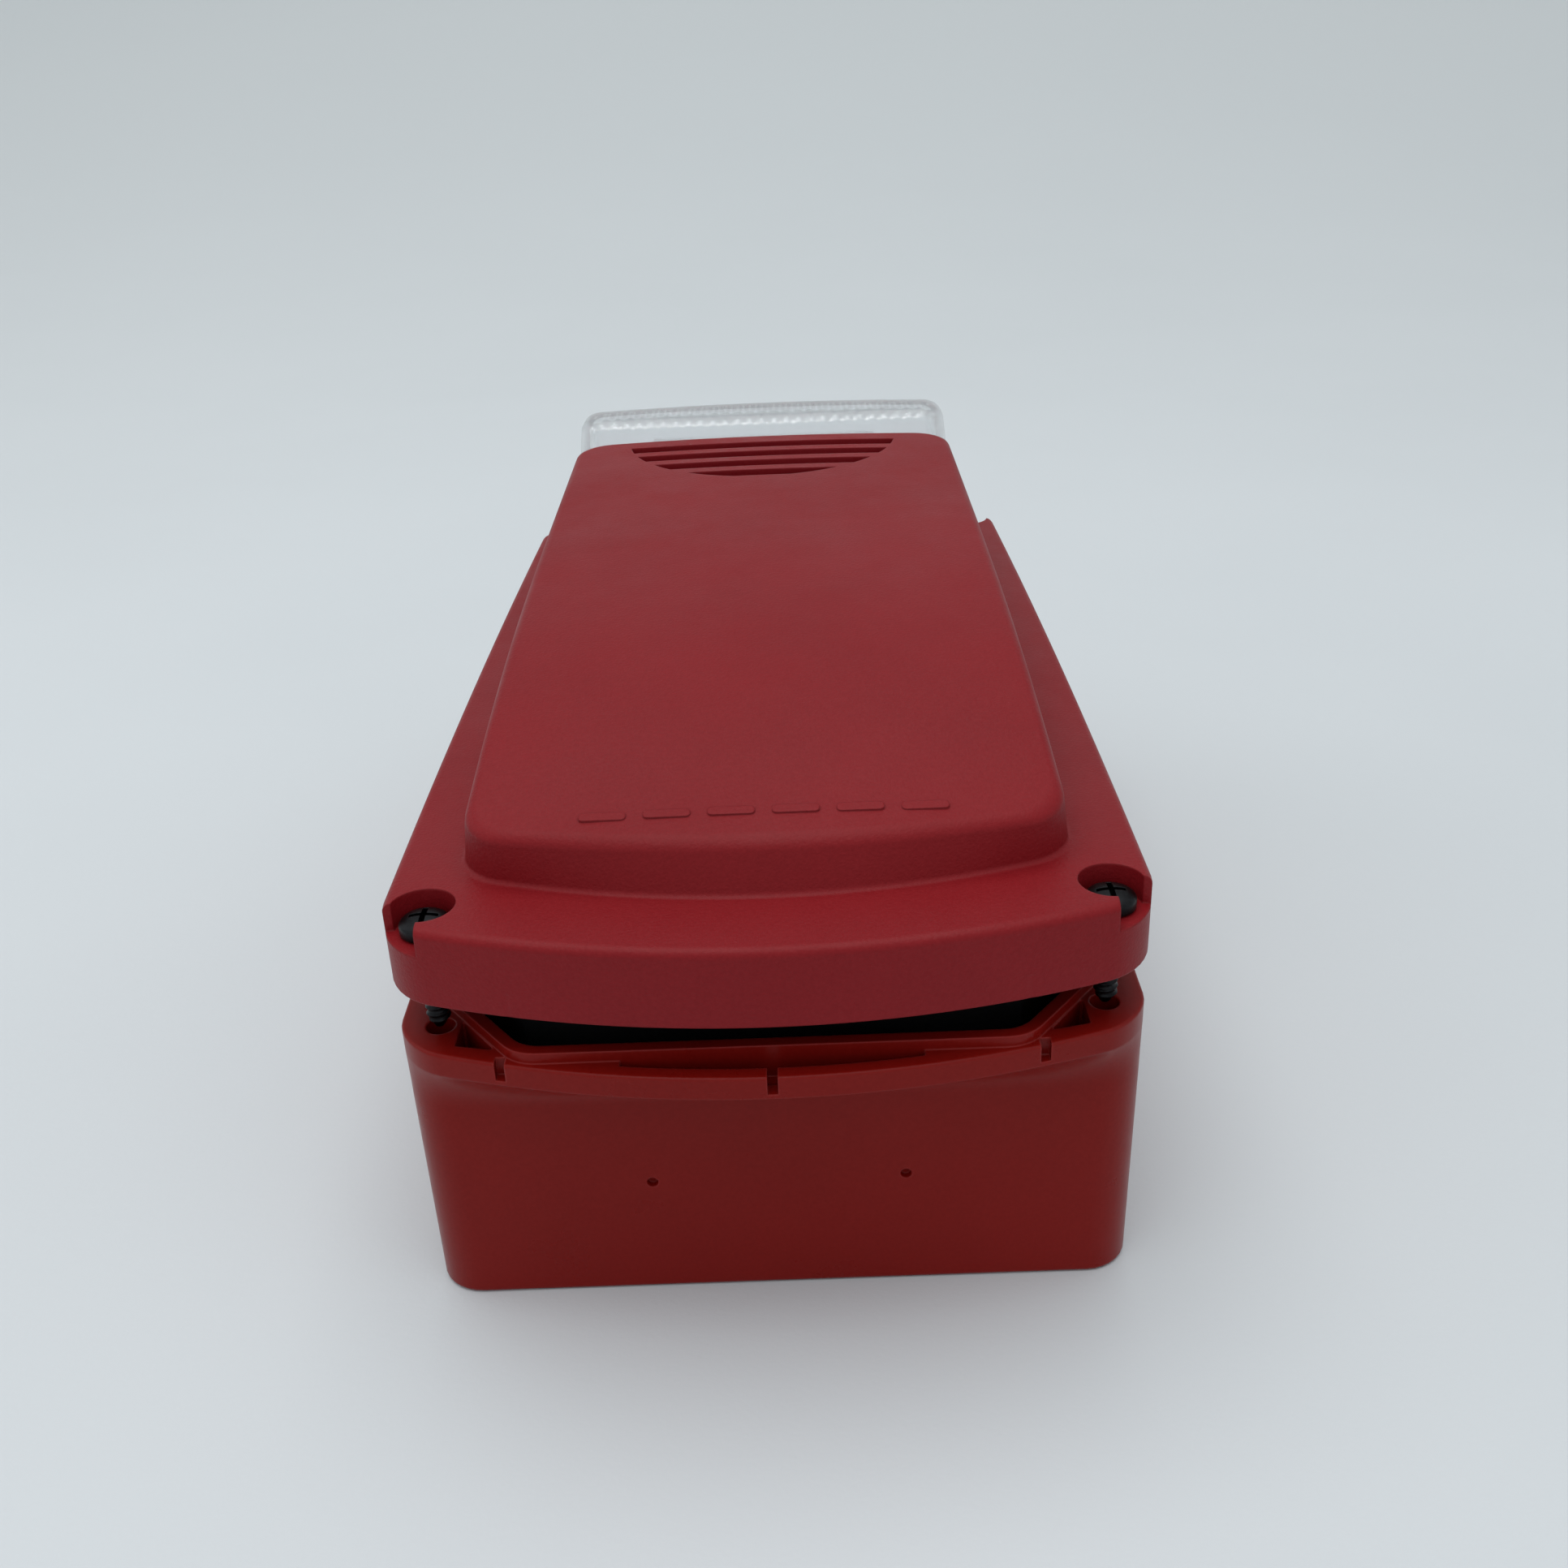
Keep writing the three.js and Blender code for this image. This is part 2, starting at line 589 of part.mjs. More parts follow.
function transformerCore() {
  const { x, y, halfX, halfY, tall } = CORE;
  const block = box(x - halfX, x + halfX, y - halfY, y + halfY, ON_BOARD, ON_BOARD + tall);
  return cut(
    block,
    box(x - 6, x - 3, y - 10, y + 10, ON_BOARD + 3, ON_BOARD + tall - 3),
    box(x + 3, x + 6, y - 10, y + 10, ON_BOARD + 3, ON_BOARD + tall - 3),
  );
}

// The winding shows on both sides of the core and passes through its windows.
function transformerWinding() {
  const { x, y, halfY, tall } = CORE;
  const z0 = ON_BOARD + 3 + CLEAR;
  const z1 = ON_BOARD + tall - 3 - CLEAR;
  const side = (sign) => box(
    Math.min(x + sign * 3.3, x + sign * 5.7), Math.max(x + sign * 3.3, x + sign * 5.7),
    y - halfY - 1.5, y + halfY + 1.5, z0, z1,
  );
  const cap = (y0, y1) => box(x - 5.7, x + 5.7, y0, y1, z0, z1);
  return join(
    side(-1), side(1),
    cap(y - halfY - 3, y - halfY - CLEAR), cap(y + halfY + CLEAR, y + halfY + 3),
  );
}

function driverChip() {
  return box(14, 26, up(70), up(80), ON_BOARD, ON_BOARD + 2.4);
}

// ---- terminals and option switches, reached from behind the head -----------------------------

const TERMINAL_Y = up(60);
const TERMINALS = [-12, -4, 4, 12];
const TERMINAL_LOW = PAN_Z - 1;

function terminalBlock() {
  let block = box(-17, 17, TERMINAL_Y - 6, TERMINAL_Y + 6, TERMINAL_LOW, BOARD_Z - CLEAR);
  for (const x of TERMINALS) {
    block = cut(block, cylinder(x, TERMINAL_Y + 1.5, TERMINAL_LOW - 1, TERMINAL_LOW + 7, 2.8));
    const entry = box(x - 2.4, x + 2.4, TERMINAL_Y - 8, TERMINAL_Y - 2, TERMINAL_LOW + 2, TERMINAL_LOW + 7);
    block = cut(block, entry);
  }
  return block;
}

function terminalScrew(x) {
  const z = TERMINAL_LOW + 0.6;
  const profile = [[0, z], [2.4, z], [2.4, z + 2], [1.5, z + 2], [1.5, z + 6], [0, z + 6]];
  const screw = turned(x, TERMINAL_Y + 1.5, profile, 10);
  return cut(screw, box(x - 3, x + 3, TERMINAL_Y + 1.1, TERMINAL_Y + 1.9, z - 1, z + 1));
}

const OPTION_Y = up(84);
const OPTIONS = [-3, 3];

function optionSwitchBody() {
  let body = box(-8, 8, OPTION_Y - 4, OPTION_Y + 4, PAN_Z + 2.6, BOARD_Z - CLEAR);
  for (const x of OPTIONS) {
    body = cut(body, box(x - 1.6, x + 1.6, OPTION_Y - 3, OPTION_Y + 3, PAN_Z, PAN_Z + 5));
  }
  return body;
}

const optionSlider = (x) => box(x - 1.2, x + 1.2, OPTION_Y - 2.6, OPTION_Y - 0.4, PAN_Z + 1, PAN_Z + 4.6);

const CANDELA_Y = up(104);

function candelaBase() {
  const body = box(-14, 14, CANDELA_Y - 4, CANDELA_Y + 4, PAN_Z + 2.6, BOARD_Z - CLEAR);
  return cut(body, box(-11, 11, CANDELA_Y - 1.6, CANDELA_Y + 1.6, PAN_Z, PAN_Z + 6));
}

function candelaSlider() {
  const stem = box(-10.6, -5.6, CANDELA_Y - 1.3, CANDELA_Y + 1.3, PAN_Z + 0.5, PAN_Z + 5.6);
  return join(stem, box(-9.6, -6.6, CANDELA_Y - 1.3, CANDELA_Y + 1.3, PAN_Z - 1, PAN_Z + 1));
}

// ---- rear cover ----------------------------------------------------------------------------

function rearCover() {
  const rim = prism(lipOutline(LIP_THICK + 0.8), HEAD_Z - 1.2, HEAD_Z + 0.5);
  const outer = join(prism(wellOutline(2.5), PAN_Z, HEAD_Z + 0.5), rim);
  let pan = cut(outer, prism(wellOutline(4.5), PAN_Z + 2, HEAD_Z + 2));
  for (const [x, y] of COVER_POSTS) {
    pan = join(pan, cylinder(x, y, PAN_Z, HEAD_Z + 0.5, 4.4));
    pan = cut(pan, cylinder(x, y, PAN_Z - 1, HEAD_Z + 2, 1.9, 12));
    pan = cut(pan, cylinder(x, y, PAN_Z - 1, PAN_Z + 2.5, 3.3));
  }
  pan = cut(pan, box(-17.5, 17.5, TERMINAL_Y - 6.5, TERMINAL_Y + 6.5, PAN_Z - 1, PAN_Z + 3));
  pan = cut(pan, box(-8.5, 8.5, OPTION_Y - 4.5, OPTION_Y + 4.5, PAN_Z - 1, PAN_Z + 3));
  pan = cut(pan, box(-14.5, 14.5, CANDELA_Y - 4.5, CANDELA_Y + 4.5, PAN_Z - 1, PAN_Z + 3));
  return pan;
}

// A small pan-head screw driven upwards from behind.
function risingScrew(x, y, headZ, length, headR, shankR) {
  const profile = [[0, headZ], [headR * 0.8, headZ], [headR, headZ + 0.6], [headR, headZ + 1.6],
    [shankR, headZ + 1.6], [shankR, headZ + length - 1], [0, headZ + length]];
  const screw = turned(x, y, profile, 10);
  return cut(screw, box(x - headR, x + headR, y - 0.35, y + 0.35, headZ - 1, headZ + 0.7));
}

// ---- sounder -------------------------------------------------------------------------------

const SOUNDER_FLOOR = ON_BOARD;
const SOUNDER_SHELF = SOUNDER_FLOOR + 10;
const ring = (inner, outer, z0, z1) =>
  turned(0, up(SOUNDER_Y), [[inner, z0], [outer, z0], [outer, z1], [inner, z1], [inner, z0]], 24);
const disc = (radius, z0, z1) => cylinder(0, up(SOUNDER_Y), z0, z1, radius, 24);

function sounderHousing() {
  const z = SOUNDER_FLOOR;
  const shelf = [[22.4, z + 20], [22.4, z + 10], [19, z + 10], [19, z + 2], [0, z + 2]];
  return turned(0, up(SOUNDER_Y), [[0, z], [24, z], [24, z + 20], ...shelf], 24);
}

function soundHorn() {
  const z = SOUNDER_FLOOR + 20 + CLEAR;
  const top = FLANGE_TOP + 24;
  const profile = [[24, z], [25.5, top], [24, top], [15, z + 5], [9, z + 1.6], [9, z], [24, z]];
  return turned(0, up(SOUNDER_Y), profile, 24);
}

// Fine screen that keeps insects and rain out of the louvres.
function insectScreen() {
  const z = FLANGE_TOP + 24.4;
  const points = [];
  const centre = up(LOUVRE_CENTRE - 3);
  for (let k = 0; k <= 16; k++) {
    const angle = Math.PI + (k / 16) * Math.PI;
    points.push([Math.cos(angle) * (LOUVRE_R - 2), centre + Math.sin(angle) * (LOUVRE_R - 2)]);
  }
  return prism(points, z, z + 0.5);
}

// ---- captive cover screws ------------------------------------------------------------------

function coverScrew(x, y) {
  const headZ = FLANGE_TOP - POCKET_DEPTH + CLEAR;
  const r = 2.05;
  const profile = [[0, SCREW_TIP], [r * 0.5, SCREW_TIP + 0.4], [r, SCREW_TIP + 2]];
  for (let k = 0; k < 3; k++) {
    const z = SCREW_TIP + 2.6 + k * 1.9;
    profile.push([r - 0.35, z], [r, z + 0.75]);
  }
  profile.push([r - 0.35, SCREW_TIP + 8.6], [r - 0.35, headZ], [4.2, headZ], [4.2, headZ + 1.6]);
  profile.push([3.2, headZ + 2.8], [0, headZ + 3.2]);
  const screw = turned(x, y, profile, 12);
  return cut(
    screw,
    box(x - 2.4, x + 2.4, y - 0.45, y + 0.45, headZ + 1.2, headZ + 5),
    box(x - 0.45, x + 0.45, y - 2.4, y + 2.4, headZ + 1.2, headZ + 5),
  );
}

// A push-on washer, sunk in the underside of the flange, that keeps its screw captive.
function screwRetainer(x, y) {
  const z0 = HEAD_Z + CLEAR;
  const z1 = HEAD_Z + RETAINER_BORE - CLEAR;
  return turned(x, y, [[2.3, z0], [2.8, z0], [2.8, z1], [2.3, z1], [2.3, z0]], 12);
}

// ---- wiring --------------------------------------------------------------------------------

function sounderLead(side) {
  return wire([
    [side * 8, up(SOUNDER_Y - 25.5), SOUNDER_FLOOR + 12],
    [side * 9, up(SOUNDER_Y - 29), SOUNDER_FLOOR + 9],
    [side * 10, up(SOUNDER_Y - 32), SOUNDER_FLOOR + 1.5],
  ], 0.8);
}

// ---- assembly ------------------------------------------------------------------------------

const unit = new THREE.Group();

function add(name, manifold, colour) {
  const material = new THREE.MeshStandardMaterial(colours[colour]);
  const mesh = new THREE.Mesh(geometryOf(manifold), material);
  mesh.name = name;
  unit.add(mesh);
}

add("back_box", backBox(), "red");
add("rear_entry_plug", entryPlug(), "red");
add("ground_screw", groundScrew(), "green");
add("front_cover", frontCover(), "red");
add("perimeter_gasket", perimeterGasket(), "rubber");
add("rear_cover", rearCover(), "black");
add("strobe_lens", strobeLens(), "clear");
add("lens_gasket", lensGasket(), "rubber");
add("reflector", reflector(), "steel");
add("flash_tube", rod(-28, 28, TUBE_Y, TUBE_Z, 3, 20), "clear");
add("tube_electrode_left", electrode(-1), "steel");
add("tube_electrode_right", electrode(1), "steel");
add("trigger_coil", triggerCoil(), "white");
add("main_board", mainBoard(), "board");
add("storage_capacitor", storageCapacitor(), "sleeve");
add("transformer_core", transformerCore(), "ferrite");
add("transformer_winding", transformerWinding(), "copper");
add("driver_chip", driverChip(), "black");
add("terminal_block", terminalBlock(), "green");
TERMINALS.forEach((x, k) => add(`terminal_screw_${k + 1}`, terminalScrew(x), "steel"));
add("option_switch_body", optionSwitchBody(), "black");
add("tone_slider", optionSlider(OPTIONS[0]), "white");
add("volume_slider", optionSlider(OPTIONS[1]), "white");
add("candela_switch_body", candelaBase(), "black");
add("candela_slider", candelaSlider(), "white");
add("sounder_housing", sounderHousing(), "black");
add("sounder_seal", ring(19.3, 22, SOUNDER_SHELF + CLEAR, SOUNDER_SHELF + 1.3), "rubber");
add("piezo_plate", disc(21.6, SOUNDER_SHELF + 1.6, SOUNDER_SHELF + 2), "brass");
add("piezo_ceramic", disc(13, SOUNDER_SHELF + 2.3, SOUNDER_SHELF + 2.6), "white");
add("sounder_retainer", ring(18, 22, SOUNDER_SHELF + 2.9, SOUNDER_SHELF + 6), "white");
add("sound_horn", soundHorn(), "black");
add("insect_screen", insectScreen(), "black");
add("sounder_lead_left", sounderLead(-1), "red");
add("sounder_lead_right", sounderLead(1), "black");
BOARD_POSTS.forEach(([x, y], k) => {
  add(`board_screw_${k + 1}`, risingScrew(x, y, BOARD_Z - 1.9, 9, 2.6, 1), "steel");
});
COVER_POSTS.forEach(([x, y], k) => {
  add(`rear_cover_screw_${k + 1}`, risingScrew(x, y, PAN_Z + 0.4, 27, 2.8, 1.2), "steel");
});
SCREW_SPOTS.forEach(([name, x, y]) => {
  add(`cover_screw_${name}`, coverScrew(x, y), "blackSteel");
  add(`screw_retainer_${name}`, screwRetainer(x, y), "white");
});

export default unit;
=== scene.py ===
"""Looks for the wall-mounted horn strobe: a red head standing on its deep red back box."""

import json
import math

import bmesh
import bpy
from mathutils import Matrix, Vector


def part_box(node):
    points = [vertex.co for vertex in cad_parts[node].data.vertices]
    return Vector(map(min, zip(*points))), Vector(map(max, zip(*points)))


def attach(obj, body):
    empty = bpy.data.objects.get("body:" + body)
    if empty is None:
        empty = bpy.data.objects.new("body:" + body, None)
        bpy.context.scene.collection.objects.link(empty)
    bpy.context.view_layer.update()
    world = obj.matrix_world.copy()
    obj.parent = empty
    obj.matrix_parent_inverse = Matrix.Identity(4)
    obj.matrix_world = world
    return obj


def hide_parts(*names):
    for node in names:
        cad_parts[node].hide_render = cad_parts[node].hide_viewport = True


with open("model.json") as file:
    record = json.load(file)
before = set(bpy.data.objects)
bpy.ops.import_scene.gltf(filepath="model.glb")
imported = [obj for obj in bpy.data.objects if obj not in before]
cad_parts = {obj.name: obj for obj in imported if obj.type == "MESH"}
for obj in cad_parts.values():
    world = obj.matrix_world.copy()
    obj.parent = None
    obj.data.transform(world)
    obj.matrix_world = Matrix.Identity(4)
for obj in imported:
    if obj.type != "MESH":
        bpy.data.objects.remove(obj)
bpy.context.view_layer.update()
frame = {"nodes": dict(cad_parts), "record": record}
MM = 0.001

# ---- sizes, in millimetres; the box and lens extents worked out from the frame, the rest given ---


def span(node, axis):
    """Lowest and highest coordinate of a CAD node along one axis, in millimetres."""
    low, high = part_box(node)
    return low[axis] / MM, high[axis] / MM


SIDE_BOW = 1.0
END_BOW = 12.5
LIP_HEIGHT = 2.0
WIDTH = 2 * (span("back_box", 0)[1] - SIDE_BOW)
FAR = span("back_box", 1)[1] - END_BOW
NEAR = -FAR
BOX_TOP = span("back_box", 2)[1] - LIP_HEIGHT
REST_GAP = 9.3
HEAD_LOW = BOX_TOP + REST_GAP
FLANGE = 14.0
FLANGE_TOP = HEAD_LOW + FLANGE
WALL = 2.5
BOX_DRAFT = 0.45
RIM_BAND = 4.3
RIM_BLEND = 9.0
CREASE = 0.42
CORNER = 8.0

LIP_HALF = 59.5
LIP_END = -6.5
LIP_CUT = 18.0
LIP_RISE = 23.0
LIP_THICK = 2.2
LEDGE_Z = 50.0
RECESS_HALF = 24.5
WELL_CORNER = ((43.0, 3.0), (57.5, 22.0))
BOX_FLOOR = 3.0
ENTRY = (0.0, -30.0, 11.0)
GROUND = (24.0, 40.0)
RECESS_RIM = 2.7
NOTCHES = (-44.1, 0.0, 44.1)
NOTCH_HALF = 0.85
NOTCH_DEPTH = 3.3
WALL_HOLES = (40, 80)
WALL_HOLE_R = 2.8
DRILL_SPREAD = 21.9
DRILL_HEIGHT = 23.75

SCREWS = ["lower_left", "lower_right", "upper_left", "upper_right"]
PILOT_R = 2.5
PILOT_DEPTH = 18
CORE_POCKET = ((3.4, -1.4), (3.4, 6.1), (10.3, 7.7))
POCKET_R = 5.4
POCKET_DEPTH = 5.0

BODY_HALF = 51.2
BODY_DRAFT = 0.12
BODY_NEAR = 14.5
BODY_FAR = 192.5
BODY_BOW = 10.5
BODY_UNBOW = 0.55
BODY_CROWN = 1.2
BODY_CORNER = 7.0
BODY_EDGE = 1.8
BODY_FILLET = 0.8
FRONT_WALL = 9.0
FRONT_LEAN = 0.16
FLANGE_EDGE = 1.5

BARS = 6
BAR_PITCH = 10.6
BAR_DISTANCE = 14.7

LENS_FAR = 211.0
LENS_HOLE = (44, 196, 207)
LENS_WALL = 2.4
LENS_ROOF = 1.9
LENS_EDGE = 3
RIB_PITCH = 3.2
RIB_DEPTH = 0.45
LENS_TOP = span("strobe_lens", 2)[1]
LENS_LOW = span("strobe_lens", 2)[0]

LOUVRE_R = 34.0
LOUVRE_CENTRE = 192.0
LOUVRE_PITCH = 7.8
LOUVRE_OPEN = 4.6
LOUVRE_SLOTS = 4
FIRST_LOUVRE = 7.6

THREAD_PITCH = 1.3
THREAD_TOP = 9.6
THREAD_STEP = 0.15
SCREW_HEAD = 3.2
SCREW_HEAD_R = 4.2

CROWN = [(0, 7), (12, 9.6), (41, 16.8), (72, 22.2), (108, 25.6), (150, 28), (192, 30), (215, 30.4)]


def up(distance):
    """Y of a point a distance above the flat lower end."""
    return NEAR + distance


def centre(node):
    low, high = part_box(node)
    return (low[0] + high[0]) / 2 / MM, (low[1] + high[1]) / 2 / MM


SPOTS = [centre("cover_screw_" + name) for name in SCREWS]

# ---- mesh helpers -----------------------------------------------------------------------------


def new_object(name, mesh):
    item = bpy.data.objects.new(name, mesh)
    bpy.context.scene.collection.objects.link(item)
    return item


def walls(bands, sides):
    """Faces that join each ring of vertices to the next one."""
    faces = []
    for low in range(0, bands * sides, sides):
        for k in range(sides):
            n = (k + 1) % sides
            faces.append([low + k, low + n, low + sides + n, low + sides + k])
    return faces


def object_from(name, verts, faces):
    """An object from vertices in millimetres, with its normals facing out."""
    mesh = bpy.data.meshes.new(name)
    mesh.from_pydata([[c * MM for c in v] for v in verts], [], faces)
    work = bmesh.new()
    work.from_mesh(mesh)
    bmesh.ops.remove_doubles(work, verts=work.verts, dist=1e-7)
    bmesh.ops.recalc_face_normals(work, faces=work.faces)
    work.to_mesh(mesh)
    work.free()
    return new_object(name, mesh)


def joined(name, parts):
    """One object holding several separate meshes."""
    work = bmesh.new()
    for part in parts:
        work.from_mesh(part.data)
        remove(part)
    mesh = bpy.data.meshes.new(name)
    work.to_mesh(mesh)
    work.free()
    return new_object(name, mesh)


def remove(item):
    mesh = item.data
    bpy.data.objects.remove(item)
    bpy.data.meshes.remove(mesh)


def bake(item):
    """Applies the object's modifiers to its mesh."""
    graph = bpy.context.evaluated_depsgraph_get()
    mesh = bpy.data.meshes.new_from_object(item.evaluated_get(graph))
    old = item.data
    item.modifiers.clear()
    item.data = mesh
    bpy.data.meshes.remove(old)


def combine(base, tool, operation):
    change = base.modifiers.new("combine", "BOOLEAN")
    change.operation = operation
    change.solver = "EXACT"
    change.object = tool
    bake(base)
    remove(tool)
    return base


def prism(name, outline, z0, z1):
    count = len(outline)
    verts = [(x, y, z0) for x, y in outline] + [(x, y, z1) for x, y in outline]
    faces = [list(range(count))[::-1], list(range(count, 2 * count))]
    return object_from(name, verts, faces + walls(1, count))


def circle(x, y, radius, sides=40):
    steps = [2 * math.pi * k / sides for k in range(sides)]
    return [(x + radius * math.cos(a), y + radius * math.sin(a)) for a in steps]


def rectangle(x0, x1, y0, y1):
    return [(x0, y0), (x1, y0), (x1, y1), (x0, y1)]


def inward(outline, amount):
    """A convex counter-clockwise outline with every side moved inwards."""
    edges = []
    for k, (x0, y0) in enumerate(outline):
        x1, y1 = outline[(k + 1) % len(outline)]
        size = math.hypot(x1 - x0, y1 - y0)
        normal = ((y0 - y1) / size, (x1 - x0) / size)
        edges.append((normal, normal[0] * x0 + normal[1] * y0 + amount))
    points = []
    for k, (b, reach_b) in enumerate(edges):
        a, reach_a = edges[k - 1]
        det = a[0] * b[1] - a[1] * b[0]
        points.append(((reach_a * b[1] - reach_b * a[1]) / det, (reach_b * a[0] - reach_a * b[0]) / det))
    return points


def four_corners(first, second):
    """A rectangle with diagonal corners, from the two points of its lower right corner."""
    right = [first, second, (second[0], -second[1]), (first[0], -first[1])]
    return right + [(-x, y) for x, y in reversed(right)]


def lip_outline(inset):
    """The sealing lip's outer line, moved inwards."""
    corner = (LIP_HALF - LIP_CUT, up(LIP_END)), (LIP_HALF, up(LIP_END + LIP_RISE))
    return inward(four_corners(*corner), inset)


def well_outline(inset):
    """The deep well of the box, moved inwards."""
    return inward(four_corners(*[(x, up(distance)) for x, distance in WELL_CORNER]), inset)


def rounded(outline, radius, steps=5):
    """The outline with each corner turned into an arc."""
    points = []
    count = len(outline)
    for k in range(count):
        corner = Vector(outline[k])
        before = (Vector(outline[k - 1]) - corner).normalized()
        after = (Vector(outline[(k + 1) % count]) - corner).normalized()
        half = before.angle(after) / 2
        reach = radius / math.tan(half)
        start = corner + before * reach
        end = corner + after * reach
        for s in range(steps + 1):
            t = s / steps
            points.append(tuple(start * (1 - t) ** 2 + corner * 2 * t * (1 - t) + end * t * t))
    return points


# ---- lofts with bowed ends --------------------------------------------------------------------


def plan_rows(corner_steps, stations):
    """Rows of a plan: a quarter turn at each end, with straight stations between them."""
    rows = [(-1, k / corner_steps) for k in range(corner_steps)]
    rows += [(0, k / stations) for k in range(stations + 1)]
    rows += [(1, k / corner_steps) for k in range(corner_steps - 1, -1, -1)]
    return rows


def plan_point(plan, u, row):
    """Where column u (-1 to 1) meets a row of the plan."""
    end, share = row
    length = plan["far"] - plan["near"]
    corner = plan["corner"]
    half = plan["half"]
    distance = corner + share * (length - 2 * corner)
    if end:
        angle = share * math.pi / 2
        back = corner * (1 - math.cos(angle))
        distance = back if end < 0 else length - back
        half += corner * (math.sin(angle) - 1)
    along = distance / length
    half += plan.get("side_bow", 0) * (1 - (2 * along - 1) ** 2)
    x = u * half
    swell = 1 - (x / plan["half"]) ** 2
    low = plan["near"] - plan.get("near_bow", 0) * swell
    high = plan["far"] + plan.get("far_bow", 0) * swell
    return x, low + (high - low) * along


def loft(name, rows, columns, levels):
    """A closed solid from levels, lowest first; each level is a function of (u, row)."""
    verts = []
    faces = []
    last = len(rows) - 1
    rim = [(i, 0) for i in range(columns)] + [(columns, j) for j in range(last)]
    rim += [(i, last) for i in range(columns, 0, -1)] + [(0, j) for j in range(last, 0, -1)]

    def place(level, i, j):
        verts.append(level(2 * i / columns - 1, rows[j]))
        return len(verts) - 1

    grids = []
    for level in (levels[0], levels[-1]):
        grids.append({(i, j): place(level, i, j) for i in range(columns + 1) for j in range(last + 1)})
    rings = [[grids[0][spot] for spot in rim]]
    for level in levels[1:-1]:
        rings.append([place(level, *spot) for spot in rim])
    rings.append([grids[1][spot] for spot in rim])
    for low, high in zip(rings, rings[1:]):
        for k in range(len(rim)):
            n = (k + 1) % len(rim)
            faces.append([low[k], low[n], high[n], high[k]])
    for grid, flip in ((grids[0], True), (grids[1], False)):
        for i in range(columns):
            for j in range(last):
                face = [grid[i, j], grid[i + 1, j], grid[i + 1, j + 1], grid[i, j + 1]]
                faces.append(face[::-1] if flip else face)
    return object_from(name, verts, faces)


def flat(plan, z):
    return lambda u, row: (*plan_point(plan, u, row), z)


def shrunk(plan, amount):
    """The plan moved inwards all round."""
    smaller = dict(plan)
    smaller["half"] -= amount
    smaller["near"] += amount
    smaller["far"] -= amount
    smaller["corner"] = max(0.5, smaller["corner"] - amount)
    return smaller


def quarter(radius, steps):
    """(drop, inset) pairs round a convex edge, from the wall to the top."""
    angles = [math.pi / 2 * k / steps for k in range(steps + 1)]
    return [(radius * (1 - math.sin(a)), radius * (1 - math.cos(a))) for a in angles]


# ---- back box ---------------------------------------------------------------------------------


def box_plan(z):
    straight = BOX_TOP - RIM_BAND - RIM_BLEND
    lean = BOX_DRAFT * max(0.0, 1 - z / straight)
    flare = min(1.0, max(0.0, (z - straight) / RIM_BLEND)) ** 2
    return {
        "half": WIDTH / 2 - lean,
        "near": NEAR + lean,
        "far": FAR - lean,
        "corner": CORNER,
        "near_bow": END_BOW * flare,
        "far_bow": END_BOW * flare,
        "side_bow": SIDE_BOW * flare,
    }


def drawn_in(plan, amount):
    """The plan with less bow at its ends, which shows most in the middle and not at the corners."""
    less = dict(plan)
    less["near_bow"] -= amount
    less["far_bow"] -= amount
    return less


def box_shell():
    crease = BOX_TOP - RIM_BAND
    straight = crease - RIM_BLEND
    levels = []
    for drop, inset in reversed(quarter(0.9, 4)):
        levels.append(flat(shrunk(box_plan(drop), inset), drop))
    levels.append(flat(box_plan(straight / 2), straight / 2))
    for k in range(13):
        z = straight + RIM_BLEND * k / 12
        levels.append(flat(drawn_in(box_plan(z), CREASE * (k / 12) ** 3), z))
    levels.append(flat(box_plan(crease), crease + 0.25))
    for drop, inset in quarter(0.5, 4):
        levels.append(flat(shrunk(box_plan(BOX_TOP), inset), BOX_TOP - drop))
    return loft("back_box_shell", plan_rows(8, 20), 28, levels)


